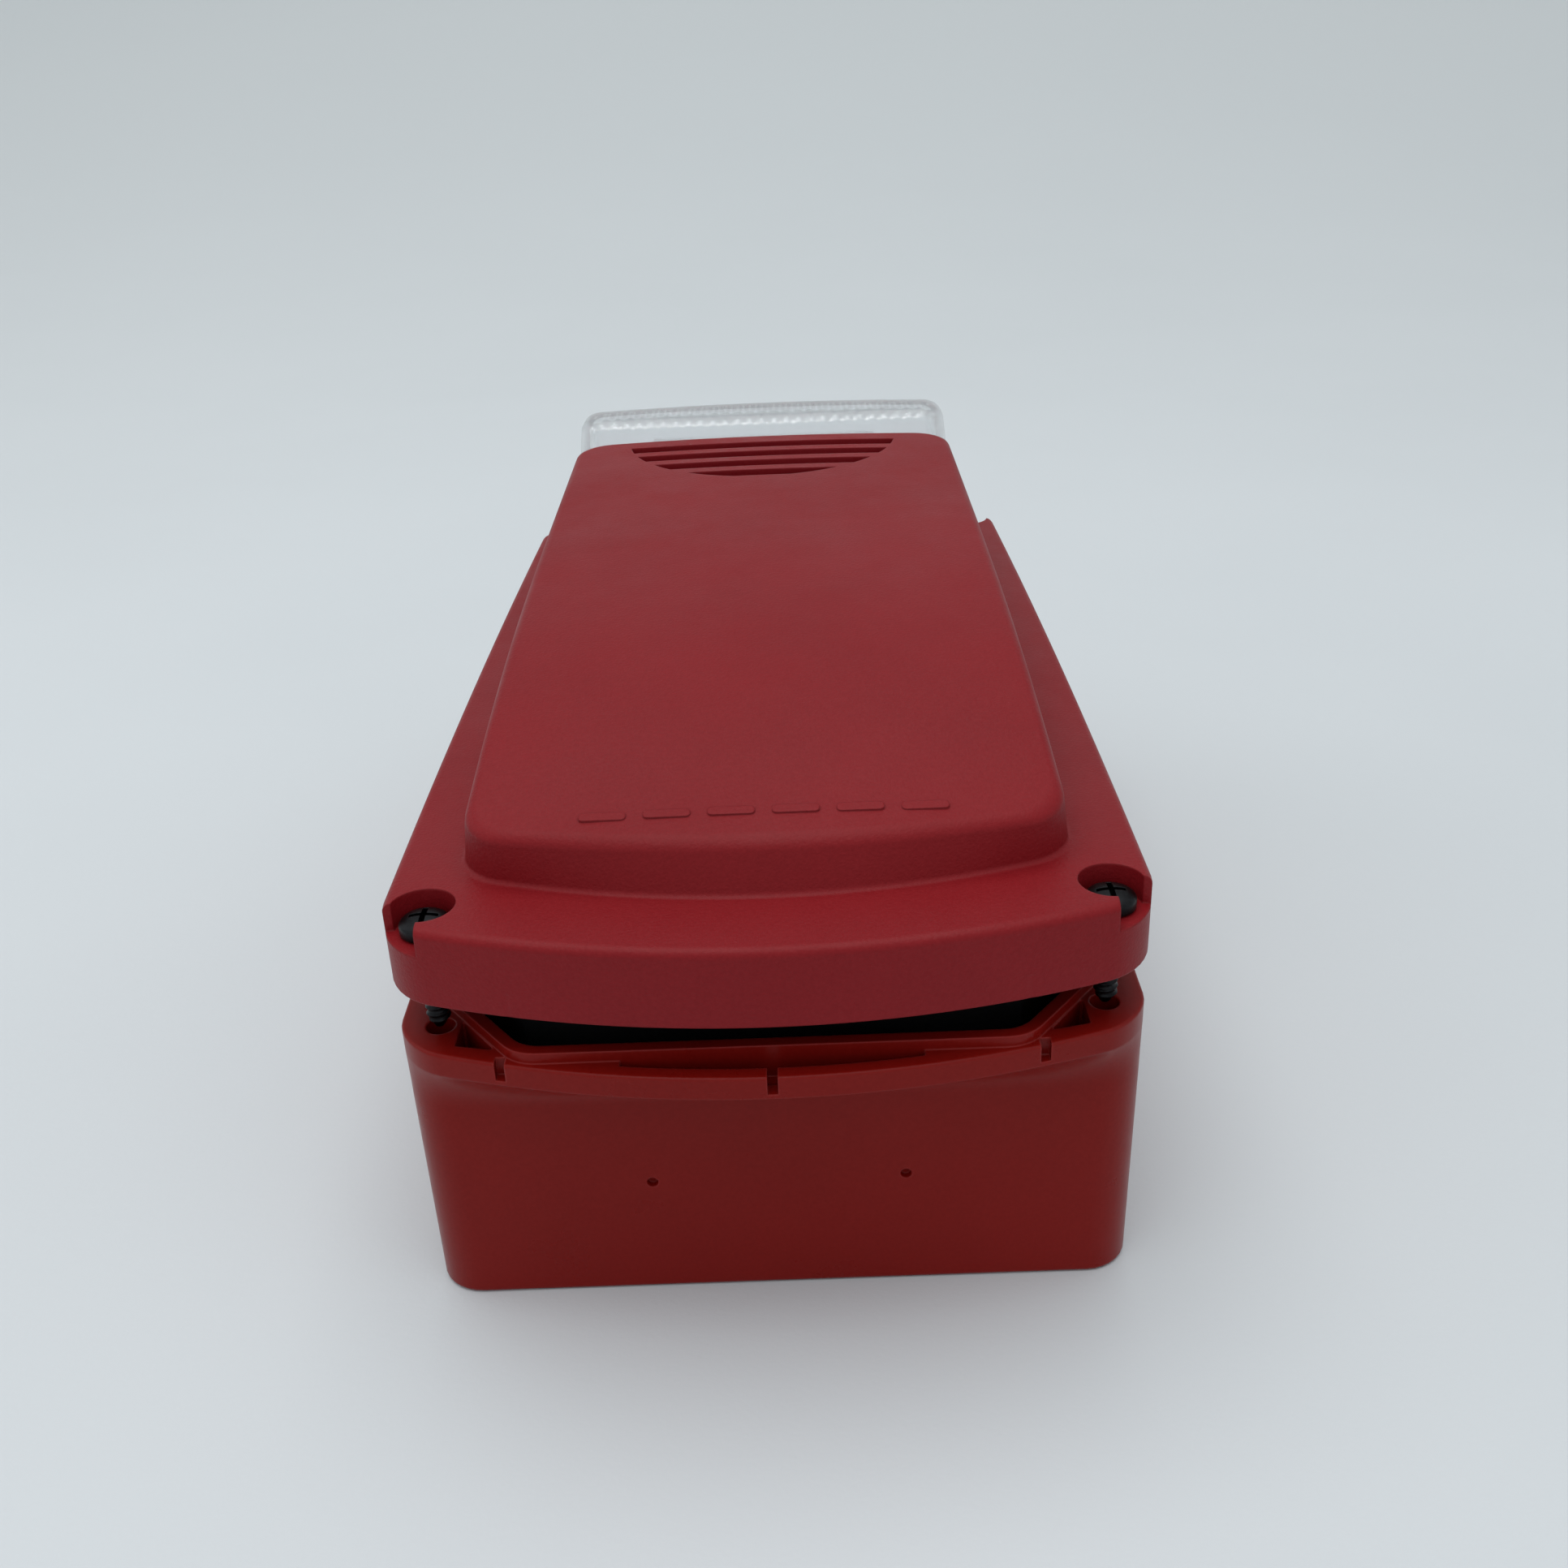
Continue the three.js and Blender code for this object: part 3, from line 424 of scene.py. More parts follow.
def build_back_box():
    shell = box_shell()
    lip = prism("lip", rounded(lip_outline(0), 8, 9), BOX_TOP - 1, BOX_TOP + LIP_HEIGHT)
    combine(shell, lip, "UNION")
    mouth = prism("mouth", rounded(lip_outline(LIP_THICK), 6.5, 9), LEDGE_Z, BOX_TOP + 5)
    combine(shell, mouth, "DIFFERENCE")
    combine(shell, prism("well", rounded(well_outline(0), 1.6), BOX_FLOOR, BOX_TOP - 1), "DIFFERENCE")
    tools = [rim_recess(-1), rim_recess(1)]
    for x, y in SPOTS:
        tools.append(prism("pilot", circle(x, y, PILOT_R), BOX_TOP - PILOT_DEPTH, BOX_TOP + 5))
        side = math.copysign(1, x)
        end = math.copysign(1, y)
        core = [(x - side * a, y + end * b) for a, b in CORE_POCKET]
        tools.append(prism("core", rounded(core, 0.5, 3), BOX_TOP - 6, BOX_TOP + 1))
        hole = circle(side * WALL_HOLES[0], end * WALL_HOLES[1], WALL_HOLE_R)
        tools.append(prism("wall_hole", hole, -1, BOX_FLOOR + 1))
    tools.append(prism("entry", circle(*ENTRY), -1, BOX_FLOOR + 1))
    combine(shell, joined("box_cuts", tools), "DIFFERENCE")
    notches = []
    for x in NOTCHES:
        past = max(0.0, abs(x) - NOTCH_HALF - (LIP_HALF - LIP_CUT))
        stop = up(LIP_END) + past * LIP_RISE / LIP_CUT
        for y0, y1 in ((NEAR - END_BOW - 1, stop), (-stop, FAR + END_BOW + 1)):
            edge = rectangle(x - NOTCH_HALF, x + NOTCH_HALF, y0, y1)
            notches.append(prism("notch", edge, BOX_TOP - NOTCH_DEPTH, BOX_TOP + 0.5))
    combine(shell, joined("notches", notches), "DIFFERENCE")
    boss = prism("ground_boss", circle(*GROUND, 5), BOX_FLOOR - 1, BOX_FLOOR + 6)
    combine(shell, boss, "UNION")
    combine(shell, prism("ground_hole", circle(*GROUND, 2.2), BOX_FLOOR, BOX_FLOOR + 8), "DIFFERENCE")
    combine(shell, drill_marks(), "DIFFERENCE")
    shell.name = "box_body"
    return shell


def rim_recess(end):
    """The crescent core-out between the sealing lip and the middle of a bowed end."""
    line = [(RECESS_HALF, up(LIP_END)), (-RECESS_HALF, up(LIP_END))]
    for k in range(13):
        x = RECESS_HALF * (k / 6 - 1)
        line.append((x, NEAR - END_BOW * (1 - (x / (WIDTH / 2)) ** 2) + RECESS_RIM))
    if end > 0:
        line = [(-x, -y) for x, y in line]
    return prism("recess", line, BOX_TOP - 4, BOX_TOP + 1)


def drill_marks():
    """Pins that leave small pits where a conduit hole may be drilled."""
    pins = []
    sides = 20
    for x in (-DRILL_SPREAD, DRILL_SPREAD):
        for face, inwards in ((NEAR, 1), (FAR, -1)):
            verts = []
            for depth, radius in ((-0.6, 1.3), (0.3, 1.0), (1.4, 0.9)):
                ring = circle(x, DRILL_HEIGHT, radius, sides)
                verts += [(a, face + inwards * depth, b) for a, b in ring]
            faces = [list(range(sides)), list(range(2 * sides, 3 * sides))]
            pins.append(object_from("drill_mark", verts, faces + walls(2, sides)))
    return joined("drill_marks", pins)


# ---- head -------------------------------------------------------------------------------------


def crown_height(distance):
    """Height of the raised body above the flange, a smooth curve through CROWN."""
    points = CROWN
    k = max(i for i in range(len(points) - 1) if distance >= points[i][0] or i == 0)
    (x1, y1), (x2, y2) = points[k], points[k + 1]
    x0, y0 = points[k - 1] if k else (2 * x1 - x2, 2 * y1 - y2)
    x3, y3 = points[k + 2] if k + 2 < len(points) else (2 * x2 - x1, 2 * y2 - y1)
    t = min(1.0, max(0.0, (distance - x1) / (x2 - x1)))
    m1 = (y2 - y0) / (x2 - x0) * (x2 - x1)
    m2 = (y3 - y1) / (x3 - x1) * (x2 - x1)
    return ((2 * t ** 3 - 3 * t ** 2 + 1) * y1 + (t ** 3 - 2 * t ** 2 + t) * m1
            + (3 * t ** 2 - 2 * t ** 3) * y2 + (t ** 3 - t ** 2) * m2)


def body_plan(height, inset, thickness, far_inset=0.0):
    """Plan of the raised body at a height above the flange; its lower end loses its bow as it rises."""
    low = min(height, FRONT_WALL)
    return {
        "half": BODY_HALF - height * BODY_DRAFT - inset - thickness,
        "near": up(BODY_NEAR) - FRONT_LEAN * low + inset + thickness,
        "far": up(BODY_FAR) - thickness - far_inset,
        "corner": max(2.5, BODY_CORNER - thickness),
        "near_bow": BODY_BOW - BODY_UNBOW * low,
    }


def body_level(drop, inset, thickness):
    def level(u, row):
        foot = body_plan(FRONT_WALL, inset, thickness)
        height = crown_height(plan_point(foot, u, row)[1] - NEAR) - thickness
        plan = body_plan(height - drop, inset, thickness, inset * 0.35)
        x, y = plan_point(plan, u, row)
        sag = BODY_CROWN * (x / BODY_HALF) ** 2
        return x, y, FLANGE_TOP + height - drop - sag
    return level


def body_base(rise, spread):
    """A level of the hollow fillet where the raised body meets the flange."""
    return flat(body_plan(rise, -spread, 0, -spread * 0.4), FLANGE_TOP + rise)


def raised_body():
    levels = [body_base(-0.6, BODY_FILLET)]
    for k in range(5):
        angle = math.pi / 2 * k / 4
        rise = BODY_FILLET * (1 - math.cos(angle))
        levels.append(body_base(rise, BODY_FILLET * (1 - math.sin(angle))))
    levels += [body_level(drop, inset, 0) for drop, inset in quarter(BODY_EDGE, 6)]
    return loft("raised_body", plan_rows(7, 44), 30, levels)


def inner_body(thickness, low):
    levels = [flat(body_plan(0, 0, thickness), low), body_level(0, BODY_EDGE, thickness)]
    return loft("inner_body", plan_rows(3, 20), 12, levels)


def post(x, y, radius, bore, low, depth):
    """A hollow screw post that hangs from the inside of the cover."""
    column = prism("post", circle(x, y, radius, 24), low, FLANGE_TOP + 40)
    combine(column, inner_body(WALL / 2, HEAD_LOW - 30), "INTERSECT")
    return combine(column, prism("bore", circle(x, y, bore, 20), low - 1, low + depth), "DIFFERENCE")


def flange_block():
    plan = box_plan(BOX_TOP)
    levels = [flat(shrunk(plan, inset), HEAD_LOW + drop) for drop, inset in reversed(quarter(0.5, 3))]
    levels += [flat(shrunk(plan, inset), FLANGE_TOP - drop) for drop, inset in quarter(FLANGE_EDGE, 6)]
    return loft("front_cover_shell", plan_rows(8, 20), 28, levels)


def pocket_outline(x, y):
    """A round screw pocket that is open towards the corner of the flange."""
    side = math.copysign(1, x)
    end = math.copysign(1, y)
    local = [(0, 12)]
    for k in range(31):
        angle = math.radians(90 + 262 * k / 30)
        local.append((POCKET_R * math.cos(angle), POCKET_R * math.sin(angle)))
    local += [(12, 0), (12, 12)]
    return [(x + side * a, y + end * b) for a, b in local]


def louvre_outline(centre):
    """One slot, as long as the sounder circle allows."""
    right = []
    for k in range(9):
        y = centre + LOUVRE_OPEN * (k / 8 - 0.5)
        reach = LOUVRE_R ** 2 - (up(LOUVRE_CENTRE) - y) ** 2
        if reach > 1:
            right.append((math.sqrt(reach), y))
    return right + [(-x, y) for x, y in reversed(right)]


def marker_bars():
    """A row of plain raised bars, in the place of the caution line."""
    bars = []
    slope = (crown_height(BAR_DISTANCE + 1) - crown_height(BAR_DISTANCE - 1)) / 2
    turn = Matrix.Rotation(math.atan(slope), 4, "X")
    for k in range(BARS):
        x = (k - (BARS - 1) / 2) * BAR_PITCH
        z = FLANGE_TOP + crown_height(BAR_DISTANCE) - BODY_CROWN * (x / BODY_HALF) ** 2
        bar = prism("bar", rounded(rectangle(-3.9, 3.9, -1.0, 1.0), 0.9, 5), -0.7, 0.3)
        bar.data.transform(Matrix.Translation(Vector((x, up(BAR_DISTANCE), z)) * MM) @ turn)
        bars.append(bar)
    return joined("marker_bars", bars)


def build_front_cover():
    shell = flange_block()
    combine(shell, raised_body(), "UNION")
    combine(shell, inner_body(WALL, HEAD_LOW + 1), "DIFFERENCE")
    recess = prism("recess", rounded(lip_outline(LIP_THICK), 1.6), HEAD_LOW - 1, FLANGE_TOP - WALL)
    combine(shell, recess, "DIFFERENCE")
    groove = prism("groove", rounded(lip_outline(-0.5), 2.5), HEAD_LOW - 1, HEAD_LOW + 4.5)
    combine(shell, groove, "DIFFERENCE")
    tools = []
    for x, y in SPOTS:
        tools.append(prism("pocket", pocket_outline(x, y), FLANGE_TOP - POCKET_DEPTH, FLANGE_TOP + 3))
    for k in range(LOUVRE_SLOTS):
        middle = up(LOUVRE_CENTRE - FIRST_LOUVRE - k * LOUVRE_PITCH)
        tools.append(prism("slot", louvre_outline(middle), FLANGE_TOP + 12, FLANGE_TOP + 40))
    half, near, far = LENS_HOLE
    lens_hole = rounded(rectangle(-half, half, up(near), up(far)), 2)
    tools.append(prism("lens_hole", lens_hole, FLANGE_TOP - WALL - 1, FLANGE_TOP + 1))
    combine(shell, joined("cover_cuts", tools), "DIFFERENCE")
    holes = [prism("screw_hole", circle(x, y, 2.5), HEAD_LOW - 1, FLANGE_TOP) for x, y in SPOTS]
    combine(shell, joined("screw_holes", holes), "DIFFERENCE")
    sinks = [prism("washer_sink", circle(x, y, 3.1), HEAD_LOW - 1, HEAD_LOW + 1.7) for x, y in SPOTS]
    combine(shell, joined("washer_sinks", sinks), "DIFFERENCE")
    board_top = span("main_board", 2)[1] + 0.3
    for k in range(1, 5):
        combine(shell, post(*centre("rear_cover_screw_%d" % k), 3.6, 1.5, HEAD_LOW + 0.8, 9), "UNION")
        combine(shell, post(*centre("board_screw_%d" % k), 3.2, 1.3, board_top, 9), "UNION")
    combine(shell, marker_bars(), "UNION")
    shell.name = "head_cover"
    return shell


# ---- strobe lens ------------------------------------------------------------------------------


def lens_plan(height, thickness):
    return {
        "half": BODY_HALF - height * BODY_DRAFT - thickness,
        "near": up(BODY_FAR) + 0.3 + thickness,
        "far": up(LENS_FAR) - height * 0.1 - thickness,
        "corner": max(1.5, 5 - thickness),
        "far_bow": 4,
    }


def lens_solid(name, thickness, z0, height, ribs):
    """A rounded block the size of the lens less a thickness, its top in ribs when they have a depth."""
    lift = LENS_LOW - FLANGE_TOP

    def top(drop, inset):
        plan = lens_plan(height - drop, thickness + inset)

        def level(u, row):
            x, y = plan_point(plan, u, row)
            wave = ribs * 0.5 * (math.cos(2 * math.pi * x / RIB_PITCH) - 1)
            return x, y, FLANGE_TOP + height - drop + wave
        return level

    levels = [flat(lens_plan(lift, thickness), z0)]
    levels += [top(drop, inset) for drop, inset in quarter(LENS_EDGE - thickness * 0.6, 5)]
    return loft(name, plan_rows(6, 10), 140 if ribs else 48, levels)


def build_lens():
    height = LENS_TOP - FLANGE_TOP
    lens = lens_solid("lens_outer", 0, LENS_LOW, height, 0)
    inner = lens_solid("lens_inner", LENS_WALL, LENS_LOW - 2, height - LENS_ROOF, RIB_DEPTH)
    combine(lens, inner, "DIFFERENCE")
    lens.name = "clear_lens"
    return lens


# ---- cover screws -----------------------------------------------------------------------------


def stacked(name, x, y, rings, sides):
    """A closed solid of rings about a vertical axis; each ring is (z, radius at a turn from 0 to 1)."""
    verts = []
    faces = [list(range(sides))[::-1]]
    for z, radius in rings:
        for k in range(sides):
            angle = 2 * math.pi * k / sides
            r = radius(k / sides)
            verts.append((x + r * math.cos(angle), y + r * math.sin(angle), z))
    faces += walls(len(rings) - 1, sides)
    faces.append(list(range(len(verts) - sides, len(verts))))
    return object_from(name, verts, faces)


def thread_ring(rise):
    """Radius round the screw, a height above its tip: a core with a helical ridge."""
    core = 0.7 + min(1.0, rise / 1.8)
    ridge = 0.35 * min(1.0, rise / 2.0) * min(1.0, max(0.0, (THREAD_TOP - rise) / 1.2))

    def radius(turn):
        wave = 1 - abs(2 * ((rise / THREAD_PITCH - turn) % 1.0) - 1)
        return core + ridge * max(0.0, 1.7 * wave - 0.7)
    return radius


def build_screw(node):
    x, y = centre(node)
    tip, top = span(node, 2)
    seat = top - SCREW_HEAD
    side = 1.5
    rises = [0.05 + THREAD_STEP * k for k in range(66)]
    rings = [(tip + rise, thread_ring(rise)) for rise in rises]
    plain = [(-0.3, 1.7), (0, 2.0), (0, 4.0), (0.2, SCREW_HEAD_R), (side, SCREW_HEAD_R)]
    for k in range(1, 9):
        angle = math.radians(10 * k)
        dome = (SCREW_HEAD - side) * math.sin(angle)
        plain.append((side + dome, SCREW_HEAD_R * math.cos(angle)))
    rings += [(seat + rise, lambda turn, r=r: r) for rise, r in plain]
    screw = stacked("screw", x, y, rings, 36)
    thin, long = 0.45, 2.4
    right = [(thin, -long), (thin, -thin), (long, -thin), (long, thin), (thin, thin), (thin, long)]
    cross = [(x + p, y + q) for p, q in right + [(-p, -q) for p, q in right]]
    combine(screw, prism("cross", cross, seat + 1.2, top + 1), "DIFFERENCE")
    screw.name = node.replace("cover_screw", "captive_screw")
    return screw


# ---- materials --------------------------------------------------------------------------------


class Shader:
    """A node material under construction, starting from a Principled surface."""

    def __init__(self, name):
        self.material = bpy.data.materials.new(name)
        self.material.use_nodes = True
        self.tree = self.material.node_tree
        self.surface = self.tree.nodes["Principled BSDF"]
        self.place = self.add("ShaderNodeTexCoord").outputs["Object"]

    def add(self, kind, inputs=None, **settings):
        item = self.tree.nodes.new(kind)
        for key, value in settings.items():
            setattr(item, key, value)
        for key, value in (inputs or {}).items():
            self.feed(item.inputs[key], value)
        return item

    def feed(self, socket, value):
        if isinstance(value, bpy.types.NodeSocket):
            self.tree.links.new(value, socket)
        else:
            socket.default_value = value

    def set(self, **values):
        for key, value in values.items():
            self.feed(self.surface.inputs[key.replace("_", " ")], value)

    def noise(self, scale, detail=4.0, roughness=0.55, stretch=None):
        place = self.place
        if stretch:
            place = self.add("ShaderNodeMapping", {"Vector": place, "Scale": stretch}).outputs[0]
        inputs = {"Vector": place, "Scale": scale, "Detail": detail, "Roughness": roughness}
        return self.add("ShaderNodeTexNoise", inputs).outputs["Fac"]

    def range(self, value, low, high, start=0.3, stop=0.7):
        inputs = {"Value": value, "From Min": start, "From Max": stop, "To Min": low, "To Max": high}
        return self.add("ShaderNodeMapRange", inputs).outputs["Result"]

    def blend(self, share, first, second):
        mix = self.add("ShaderNodeMix", data_type="RGBA")
        self.feed(mix.inputs["Factor"], share)
        self.feed(mix.inputs["A"], first)
        self.feed(mix.inputs["B"], second)
        return mix.outputs["Result"]

    def edges(self, radius):
        """0 on open faces, rising to 1 along edges, with the rounded normal that shows them."""
        soft = self.add("ShaderNodeBevel", {"Radius": radius}, samples=6).outputs["Normal"]
        hard = self.add("ShaderNodeNewGeometry").outputs["Normal"]
        match = self.add("ShaderNodeVectorMath", {0: soft, 1: hard}, operation="DOT_PRODUCT")
        return soft, self.range(match.outputs["Value"], 1.0, 0.0, 0.8, 0.995)

    def bump(self, height, distance, normal=None, strength=1.0):
        inputs = {"Height": height, "Distance": distance, "Strength": strength}
        if normal:
            inputs["Normal"] = normal
        return self.add("ShaderNodeBump", inputs).outputs["Normal"]


def rgb(red, green, blue):
    return (red, green, blue, 1.0)


def paler(colour, gain, lift):
    return rgb(*[min(1, part * gain + lift) for part in colour[:3]])


def moulded(name, dark, light, rough, grain, grain_depth, edge_light=0.25, streaks=0.0):
    """Moulded plastic: cloudy colour, a fine eroded grain, faint flow marks and paler edges, partly wear
    and partly painted highlight.
    """
    shader = Shader(name)
    normal, edge = shader.edges(0.0005)
    cloud = shader.range(shader.noise(24.0, 5.0), 0.0, 1.0)
    speck = shader.range(shader.noise(1400.0, 2.0), 0.0, 0.12)
    base = shader.blend(cloud, dark, light)
    base = shader.blend(speck, base, paler(light, 1.7, 0.01))
    # Paler edges: partly wear, partly a painted highlight that stands in for glints along the edges.
    wear_and_edge_highlight = shader.add("ShaderNodeMath", {0: edge, 1: edge_light}, operation="MULTIPLY").outputs[0]
    base = shader.blend(wear_and_edge_highlight, base, paler(light, 1.6, 0.02))
    dust = shader.range(shader.noise(520.0, 2.0, 0.5), 0.0, 0.4, 0.82, 0.86)
    base = shader.blend(dust, base, rgb(0.35, 0.2, 0.18))
    height = shader.noise(grain, 3.0, 0.6)
    bumped = shader.bump(height, grain_depth, normal)
    if streaks:
        flow = shader.noise(60.0, 3.0, 0.5, (1.0, 0.12, 1.0))
        bumped = shader.bump(flow, streaks, bumped)
    smear = shader.range(shader.noise(45.0, 6.0, 0.65), rough - 0.05, rough + 0.08)
    shader.set(Base_Color=base, Roughness=smear, Normal=bumped, IOR=1.5, Specular_IOR_Level=0.15)
    return shader.material


def clear_plastic(name, tint, rough, haze, alpha):
    shader = Shader(name)
    normal, _ = shader.edges(0.0004)
    smear = shader.range(shader.noise(60.0, 6.0, 0.7), rough, rough + haze)
    wavy = shader.bump(shader.noise(90.0, 2.0), 0.00003, normal)
    shader.set(Base_Color=tint, Roughness=smear, Normal=wavy, Alpha=alpha)
    shader.set(IOR=1.585, Transmission_Weight=1.0)
    return shader.material


def metal(name, dark, light, rough, scale, stretch=(1.0, 1.0, 1.0)):
    shader = Shader(name)
    normal, edge = shader.edges(0.0002)
    cloud = shader.range(shader.noise(scale, 5.0, 0.6, stretch), 0.0, 1.0)
    base = shader.blend(cloud, dark, light)
    fine = shader.noise(scale * 12, 3.0, 0.6, stretch)
    smear = shader.range(fine, rough - 0.06, rough + 0.12)
    shader.set(Base_Color=base, Metallic=1.0, Roughness=smear)
    shader.set(Normal=shader.bump(fine, 0.00001, normal))
    return shader.material


def rubber(name):
    shader = Shader(name)
    cells = shader.add("ShaderNodeTexVoronoi", {"Vector": shader.place, "Scale": 1500.0})
    cloud = shader.range(shader.noise(80.0), 0.0, 1.0)
    base = shader.blend(cloud, rgb(0.012, 0.012, 0.013), rgb(0.03, 0.03, 0.032))
    pores = shader.bump(cells.outputs["Distance"], 0.0001)
    shader.set(Base_Color=base, Roughness=0.85, Normal=pores)
    return shader.material


def circuit_board(name):
    """Solder mask over copper tracks, with a scatter of tinned pads."""
    shader = Shader(name)
    grid = shader.add("ShaderNodeTexBrick", {
        "Vector": shader.place, "Scale": 170.0, "Mortar Size": 0.05, "Brick Width": 1.6, "Row Height": 0.35,
    })
    tracks = shader.range(grid.outputs["Fac"], 0.0, 1.0, 0.4, 0.6)
    cloud = shader.range(shader.noise(35.0), 0.0, 1.0)
    mask = shader.blend(cloud, rgb(0.01, 0.07, 0.025), rgb(0.015, 0.10, 0.035))
    base = shader.blend(tracks, mask, rgb(0.03, 0.19, 0.07))
    spots = {"Vector": shader.place, "Scale": 260.0, "Randomness": 0.3}
    cells = shader.add("ShaderNodeTexVoronoi", spots)
    pads = shader.range(cells.outputs["Distance"], 1.0, 0.0, 0.12, 0.16)
    base = shader.blend(pads, base, rgb(0.62, 0.6, 0.56))
    shader.set(Base_Color=base, Metallic=pads, Roughness=0.32, Normal=shader.bump(tracks, 0.00005))
    return shader.material


def woven_wire(name):
    """Black woven wire with open cells between the strands."""
    shader = Shader(name)
    fine = {"Vector": shader.place, "Scale": (900.0, 900.0, 900.0)}
    place = shader.add("ShaderNodeMapping", fine).outputs[0]
    parts = shader.add("ShaderNodeSeparateXYZ", {0: place})
    strands = []
    for axis in ("X", "Y"):
        beat = shader.add("ShaderNodeMath", {0: parts.outputs[axis], 1: 1.0}, operation="PINGPONG")
        strands.append(shader.range(beat.outputs[0], 0.0, 1.0, 0.5, 0.6))
    either = shader.add("ShaderNodeMath", {0: strands[0], 1: strands[1]}, operation="MAXIMUM")
    cover = either.outputs[0]
    tone = shader.blend(shader.noise(400.0), rgb(0.015, 0.015, 0.016), rgb(0.05, 0.05, 0.052))
    shader.set(Base_Color=tone, Metallic=0.6, Roughness=0.45, Alpha=cover)
    shader.set(Normal=shader.bump(cover, 0.0002))
    return shader.material


def wound_copper(name):
    shader = Shader(name)
    turns = {"Vector": shader.place, "Scale": 420.0, "Distortion": 0.4}
    wave = shader.add("ShaderNodeTexWave", turns, bands_direction="Z").outputs["Fac"]
    base = shader.blend(wave, rgb(0.24, 0.07, 0.02), rgb(0.62, 0.26, 0.1))
    shader.set(Base_Color=base, Metallic=0.8, Roughness=0.35, Normal=shader.bump(wave, 0.0002))
    return shader.material


COVER_RED = moulded("cover_red", rgb(0.185, 0.006, 0.009), rgb(0.21, 0.007, 0.0105),
                    rough=0.42, grain=1900.0, grain_depth=0.00009, edge_light=0.1)
# The box's edge_light of 0.85 paints strong highlights along its rim, crease and lip edges.
BOX_RED = moulded("box_red", rgb(0.17, 0.004, 0.0022), rgb(0.19, 0.0046, 0.0026),
                  rough=0.3, grain=900.0, grain_depth=0.000016, edge_light=0.85, streaks=0.00001)
BLACK = moulded("black_moulding", rgb(0.006, 0.006, 0.007), rgb(0.013, 0.013, 0.014),
                rough=0.5, grain=1500.0, grain_depth=0.00005, edge_light=0.1)
WHITE = moulded("white_moulding", rgb(0.62, 0.6, 0.55), rgb(0.7, 0.69, 0.65),
                rough=0.45, grain=1200.0, grain_depth=0.00003, edge_light=0.05)
GREEN = moulded("green_moulding", rgb(0.02, 0.17, 0.05), rgb(0.03, 0.22, 0.07),
                rough=0.4, grain=1200.0, grain_depth=0.00003)
SLEEVE = moulded("capacitor_sleeve", rgb(0.01, 0.013, 0.03), rgb(0.018, 0.022, 0.05),
                 rough=0.28, grain=700.0, grain_depth=0.00002)
FERRITE = moulded("sintered_ferrite", rgb(0.02, 0.02, 0.02), rgb(0.045, 0.044, 0.043),
                  rough=0.7, grain=2200.0, grain_depth=0.00009)
LEAD_RED = moulded("red_insulation", rgb(0.4, 0.015, 0.012), rgb(0.5, 0.02, 0.016),
                   rough=0.4, grain=900.0, grain_depth=0.00002)
SEAL = rubber("foam_rubber")
LENS = clear_plastic("lens_plastic", rgb(0.95, 0.96, 0.97), 0.06, 0.1, 0.5)
TUBE = clear_plastic("tube_glass", rgb(0.96, 0.98, 0.99), 0.02, 0.04, 0.6)
BLACKED = metal("black_oxide", rgb(0.012, 0.012, 0.013), rgb(0.03, 0.03, 0.032), 0.38, 300.0)
ZINC = metal("zinc_plate", rgb(0.5, 0.5, 0.5), rgb(0.68, 0.68, 0.67), 0.3, 300.0)
MIRROR = metal("metallised_reflector", rgb(0.82, 0.82, 0.83), rgb(0.9, 0.9, 0.9), 0.12, 120.0)
BRASS = metal("rolled_brass", rgb(0.6, 0.42, 0.16), rgb(0.74, 0.55, 0.24), 0.3, 150.0,
              stretch=(1.0, 0.1, 1.0))
GREEN_ZINC = metal("green_zinc", rgb(0.03, 0.25, 0.07), rgb(0.05, 0.36, 0.11), 0.35, 300.0)
BOARD = circuit_board("solder_mask")
SCREEN = woven_wire("woven_wire")
COPPER = wound_copper("wound_copper")

SLOT_LOOKS = {
    "box_plastic": BOX_RED, "cover_plastic": COVER_RED, "black_plastic": BLACK, "seal_rubber": SEAL,
    "lens_clear": LENS, "tube_glass": TUBE, "reflector_metal": MIRROR, "board_laminate": BOARD,
    "capacitor_sleeve": SLEEVE, "ferrite": FERRITE, "winding_copper": COPPER, "brass_plate": BRASS,
    "white_plastic": WHITE, "piezo_white": WHITE, "terminal_plastic": GREEN, "ground_green": GREEN_ZINC,
    "screen_steel": SCREEN, "lead_red": LEAD_RED, "lead_black": BLACK, "steel": ZINC,
    "black_steel": BLACKED,
}

# ---- dressing the frame -----------------------------------------------------------------------


def smooth(mesh, degrees=32):
    mesh.shade_smooth()
    mesh.set_sharp_from_angle(angle=math.radians(degrees))


def finish_piece(piece, body, slot, node):
    piece.data.materials.clear()
    piece.data.materials.append(SLOT_LOOKS[slot])
    smooth(piece.data)
    weight = piece.modifiers.new("even_normals", "WEIGHTED_NORMAL")
    weight.keep_sharp = True
    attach(piece, body)
    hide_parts(node)


def dress_nodes():
    """Every carried-over CAD node gets its slot's look."""
    slots = {row["node"]: row["material_slot"] for row in frame["record"]["subparts"]}
    for name, item in frame["nodes"].items():
        look = SLOT_LOOKS[slots[name]]
        if not item.material_slots:
            item.data.materials.append(look)
        for holder in item.material_slots:
            holder.link = "OBJECT"
            holder.material = look


dress_nodes()
finish_piece(build_back_box(), "back_box", "box_plastic", "back_box")
finish_piece(build_front_cover(), "head", "cover_plastic", "front_cover")
finish_piece(build_lens(), "head", "lens_clear", "strobe_lens")
for spot in SCREWS:
    finish_piece(build_screw("cover_screw_" + spot), "screw_" + spot, "black_steel", "cover_screw_" + spot)

# ---- floor, light and camera ------------------------------------------------------------------


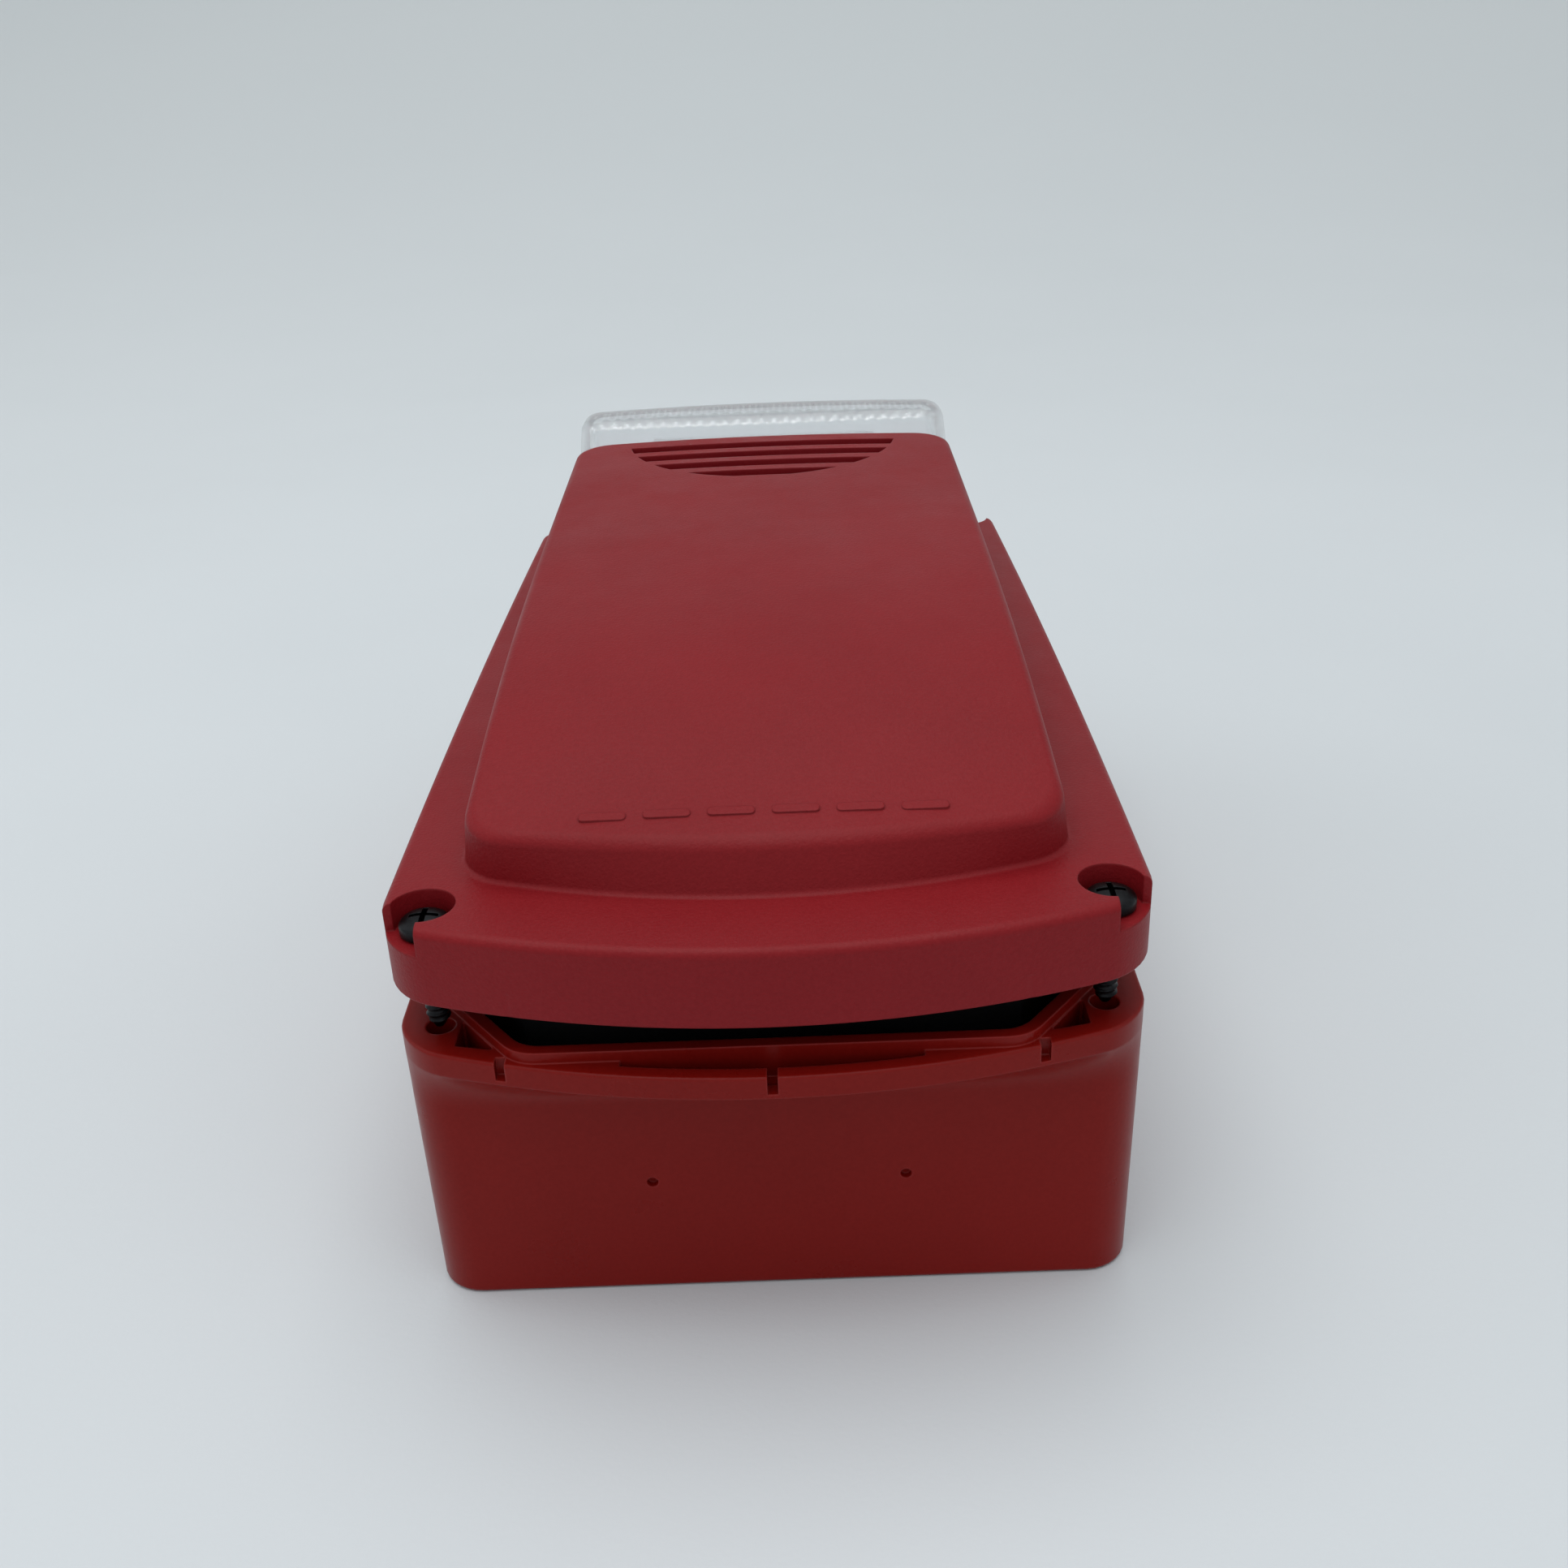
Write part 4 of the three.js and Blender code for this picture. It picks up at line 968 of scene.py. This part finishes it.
def build_sweep():
    """A pale table that curves up into a backdrop far behind the object."""
    near, start, radius, height, half = -14.0, 0.7, 3.0, 6.0, 20.0
    line = [(near, -0.00005), (start, -0.00005)]
    for k in range(1, 33):
        angle = math.pi / 2 * k / 32
        line.append((start + radius * math.sin(angle), radius * (1 - math.cos(angle))))
    line.append((start + radius, height))
    verts = [(x / MM, y / MM, z / MM) for y, z in line for x in (-half, half)]
    faces = [[2 * k, 2 * k + 1, 2 * k + 3, 2 * k + 2] for k in range(len(line) - 1)]
    sweep = object_from("sweep", verts, faces)
    sweep.data.shade_smooth()
    shader = Shader("pale_table")
    cloud = shader.range(shader.noise(3.0, 3.0), 0.0, 1.0)
    base = shader.blend(cloud, rgb(0.62, 0.65, 0.67), rgb(0.65, 0.68, 0.70))
    # Paler with distance from the object: painted light on the far table and backdrop.
    distance = shader.add("ShaderNodeVectorMath", {0: shader.place}, operation="LENGTH").outputs["Value"]
    base = shader.blend(shader.range(distance, 0.0, 1.0, 0.3, 1.9), base, rgb(0.73, 0.755, 0.76))
    shader.set(Base_Color=base, Roughness=0.6, Normal=shader.bump(shader.noise(900.0, 2.0), 0.00004))
    sweep.data.materials.append(shader.material)


def soft_light(name, place, target, width, depth, power, colour=(1.0, 1.0, 1.0)):
    data = bpy.data.lights.new(name, "AREA")
    data.shape = "RECTANGLE"
    data.size = width
    data.size_y = depth
    data.energy = power
    data.color = colour
    item = new_object(name, data)
    item.location = place
    item.rotation_euler = (Vector(target) - Vector(place)).to_track_quat("-Z", "Y").to_euler()


def build_lights():
    """An even pale surround, seen a little darker than it shines so that it meets the table."""
    world = bpy.data.worlds.new("soft_room")
    world.use_nodes = True
    tree = world.node_tree
    backdrop = tree.nodes["Background"]
    backdrop.inputs["Color"].default_value = rgb(0.87, 0.92, 0.95)
    light, seen = 0.72, 0.54
    strength = tree.nodes.new("ShaderNodeMapRange")
    strength.inputs["To Min"].default_value = light
    strength.inputs["To Max"].default_value = seen
    path = tree.nodes.new("ShaderNodeLightPath")
    tree.links.new(path.outputs["Is Camera Ray"], strength.inputs["Value"])
    tree.links.new(strength.outputs["Result"], backdrop.inputs["Strength"])
    bpy.context.scene.world = world
    bpy.context.scene.view_settings.view_transform = "Standard"
    soft_light("overhead", (-0.1, -0.02, 1.45), (0, 0, 0), 1.6, 1.2, 11.6, (1.0, 0.99, 0.98))
    soft_light("window", (-1.4, 0.2, 0.9), (0, 0, 0.05), 0.9, 0.9, 1.5, (0.95, 0.98, 1.0))


def build_camera():
    """A close viewpoint, looking down over the lower end, tipped a little to one side."""
    yaw = math.radians(-0.55)
    pitch = math.radians(25.6)
    roll = math.radians(-2.41)
    ahead = Vector((math.sin(yaw) * math.cos(pitch), math.cos(yaw) * math.cos(pitch), -math.sin(pitch)))
    level_right = Vector((math.cos(yaw), -math.sin(yaw), 0))
    level_up = level_right.cross(ahead)
    right = level_right * math.cos(roll) + level_up * math.sin(roll)
    top = level_up * math.cos(roll) - level_right * math.sin(roll)
    data = bpy.data.cameras.new("camera")
    data.sensor_width = 36.0
    data.lens = 36.34
    data.clip_start = 0.01
    item = new_object("camera", data)
    turn = Matrix((right, top, -ahead)).transposed().to_4x4()
    place = Vector((0.046 * WIDTH, NEAR - 1.735 * WIDTH, 1.6245 * WIDTH)) * MM
    item.matrix_world = Matrix.Translation(place) @ turn
    bpy.context.scene.camera = item


build_sweep()
build_lights()
build_camera()
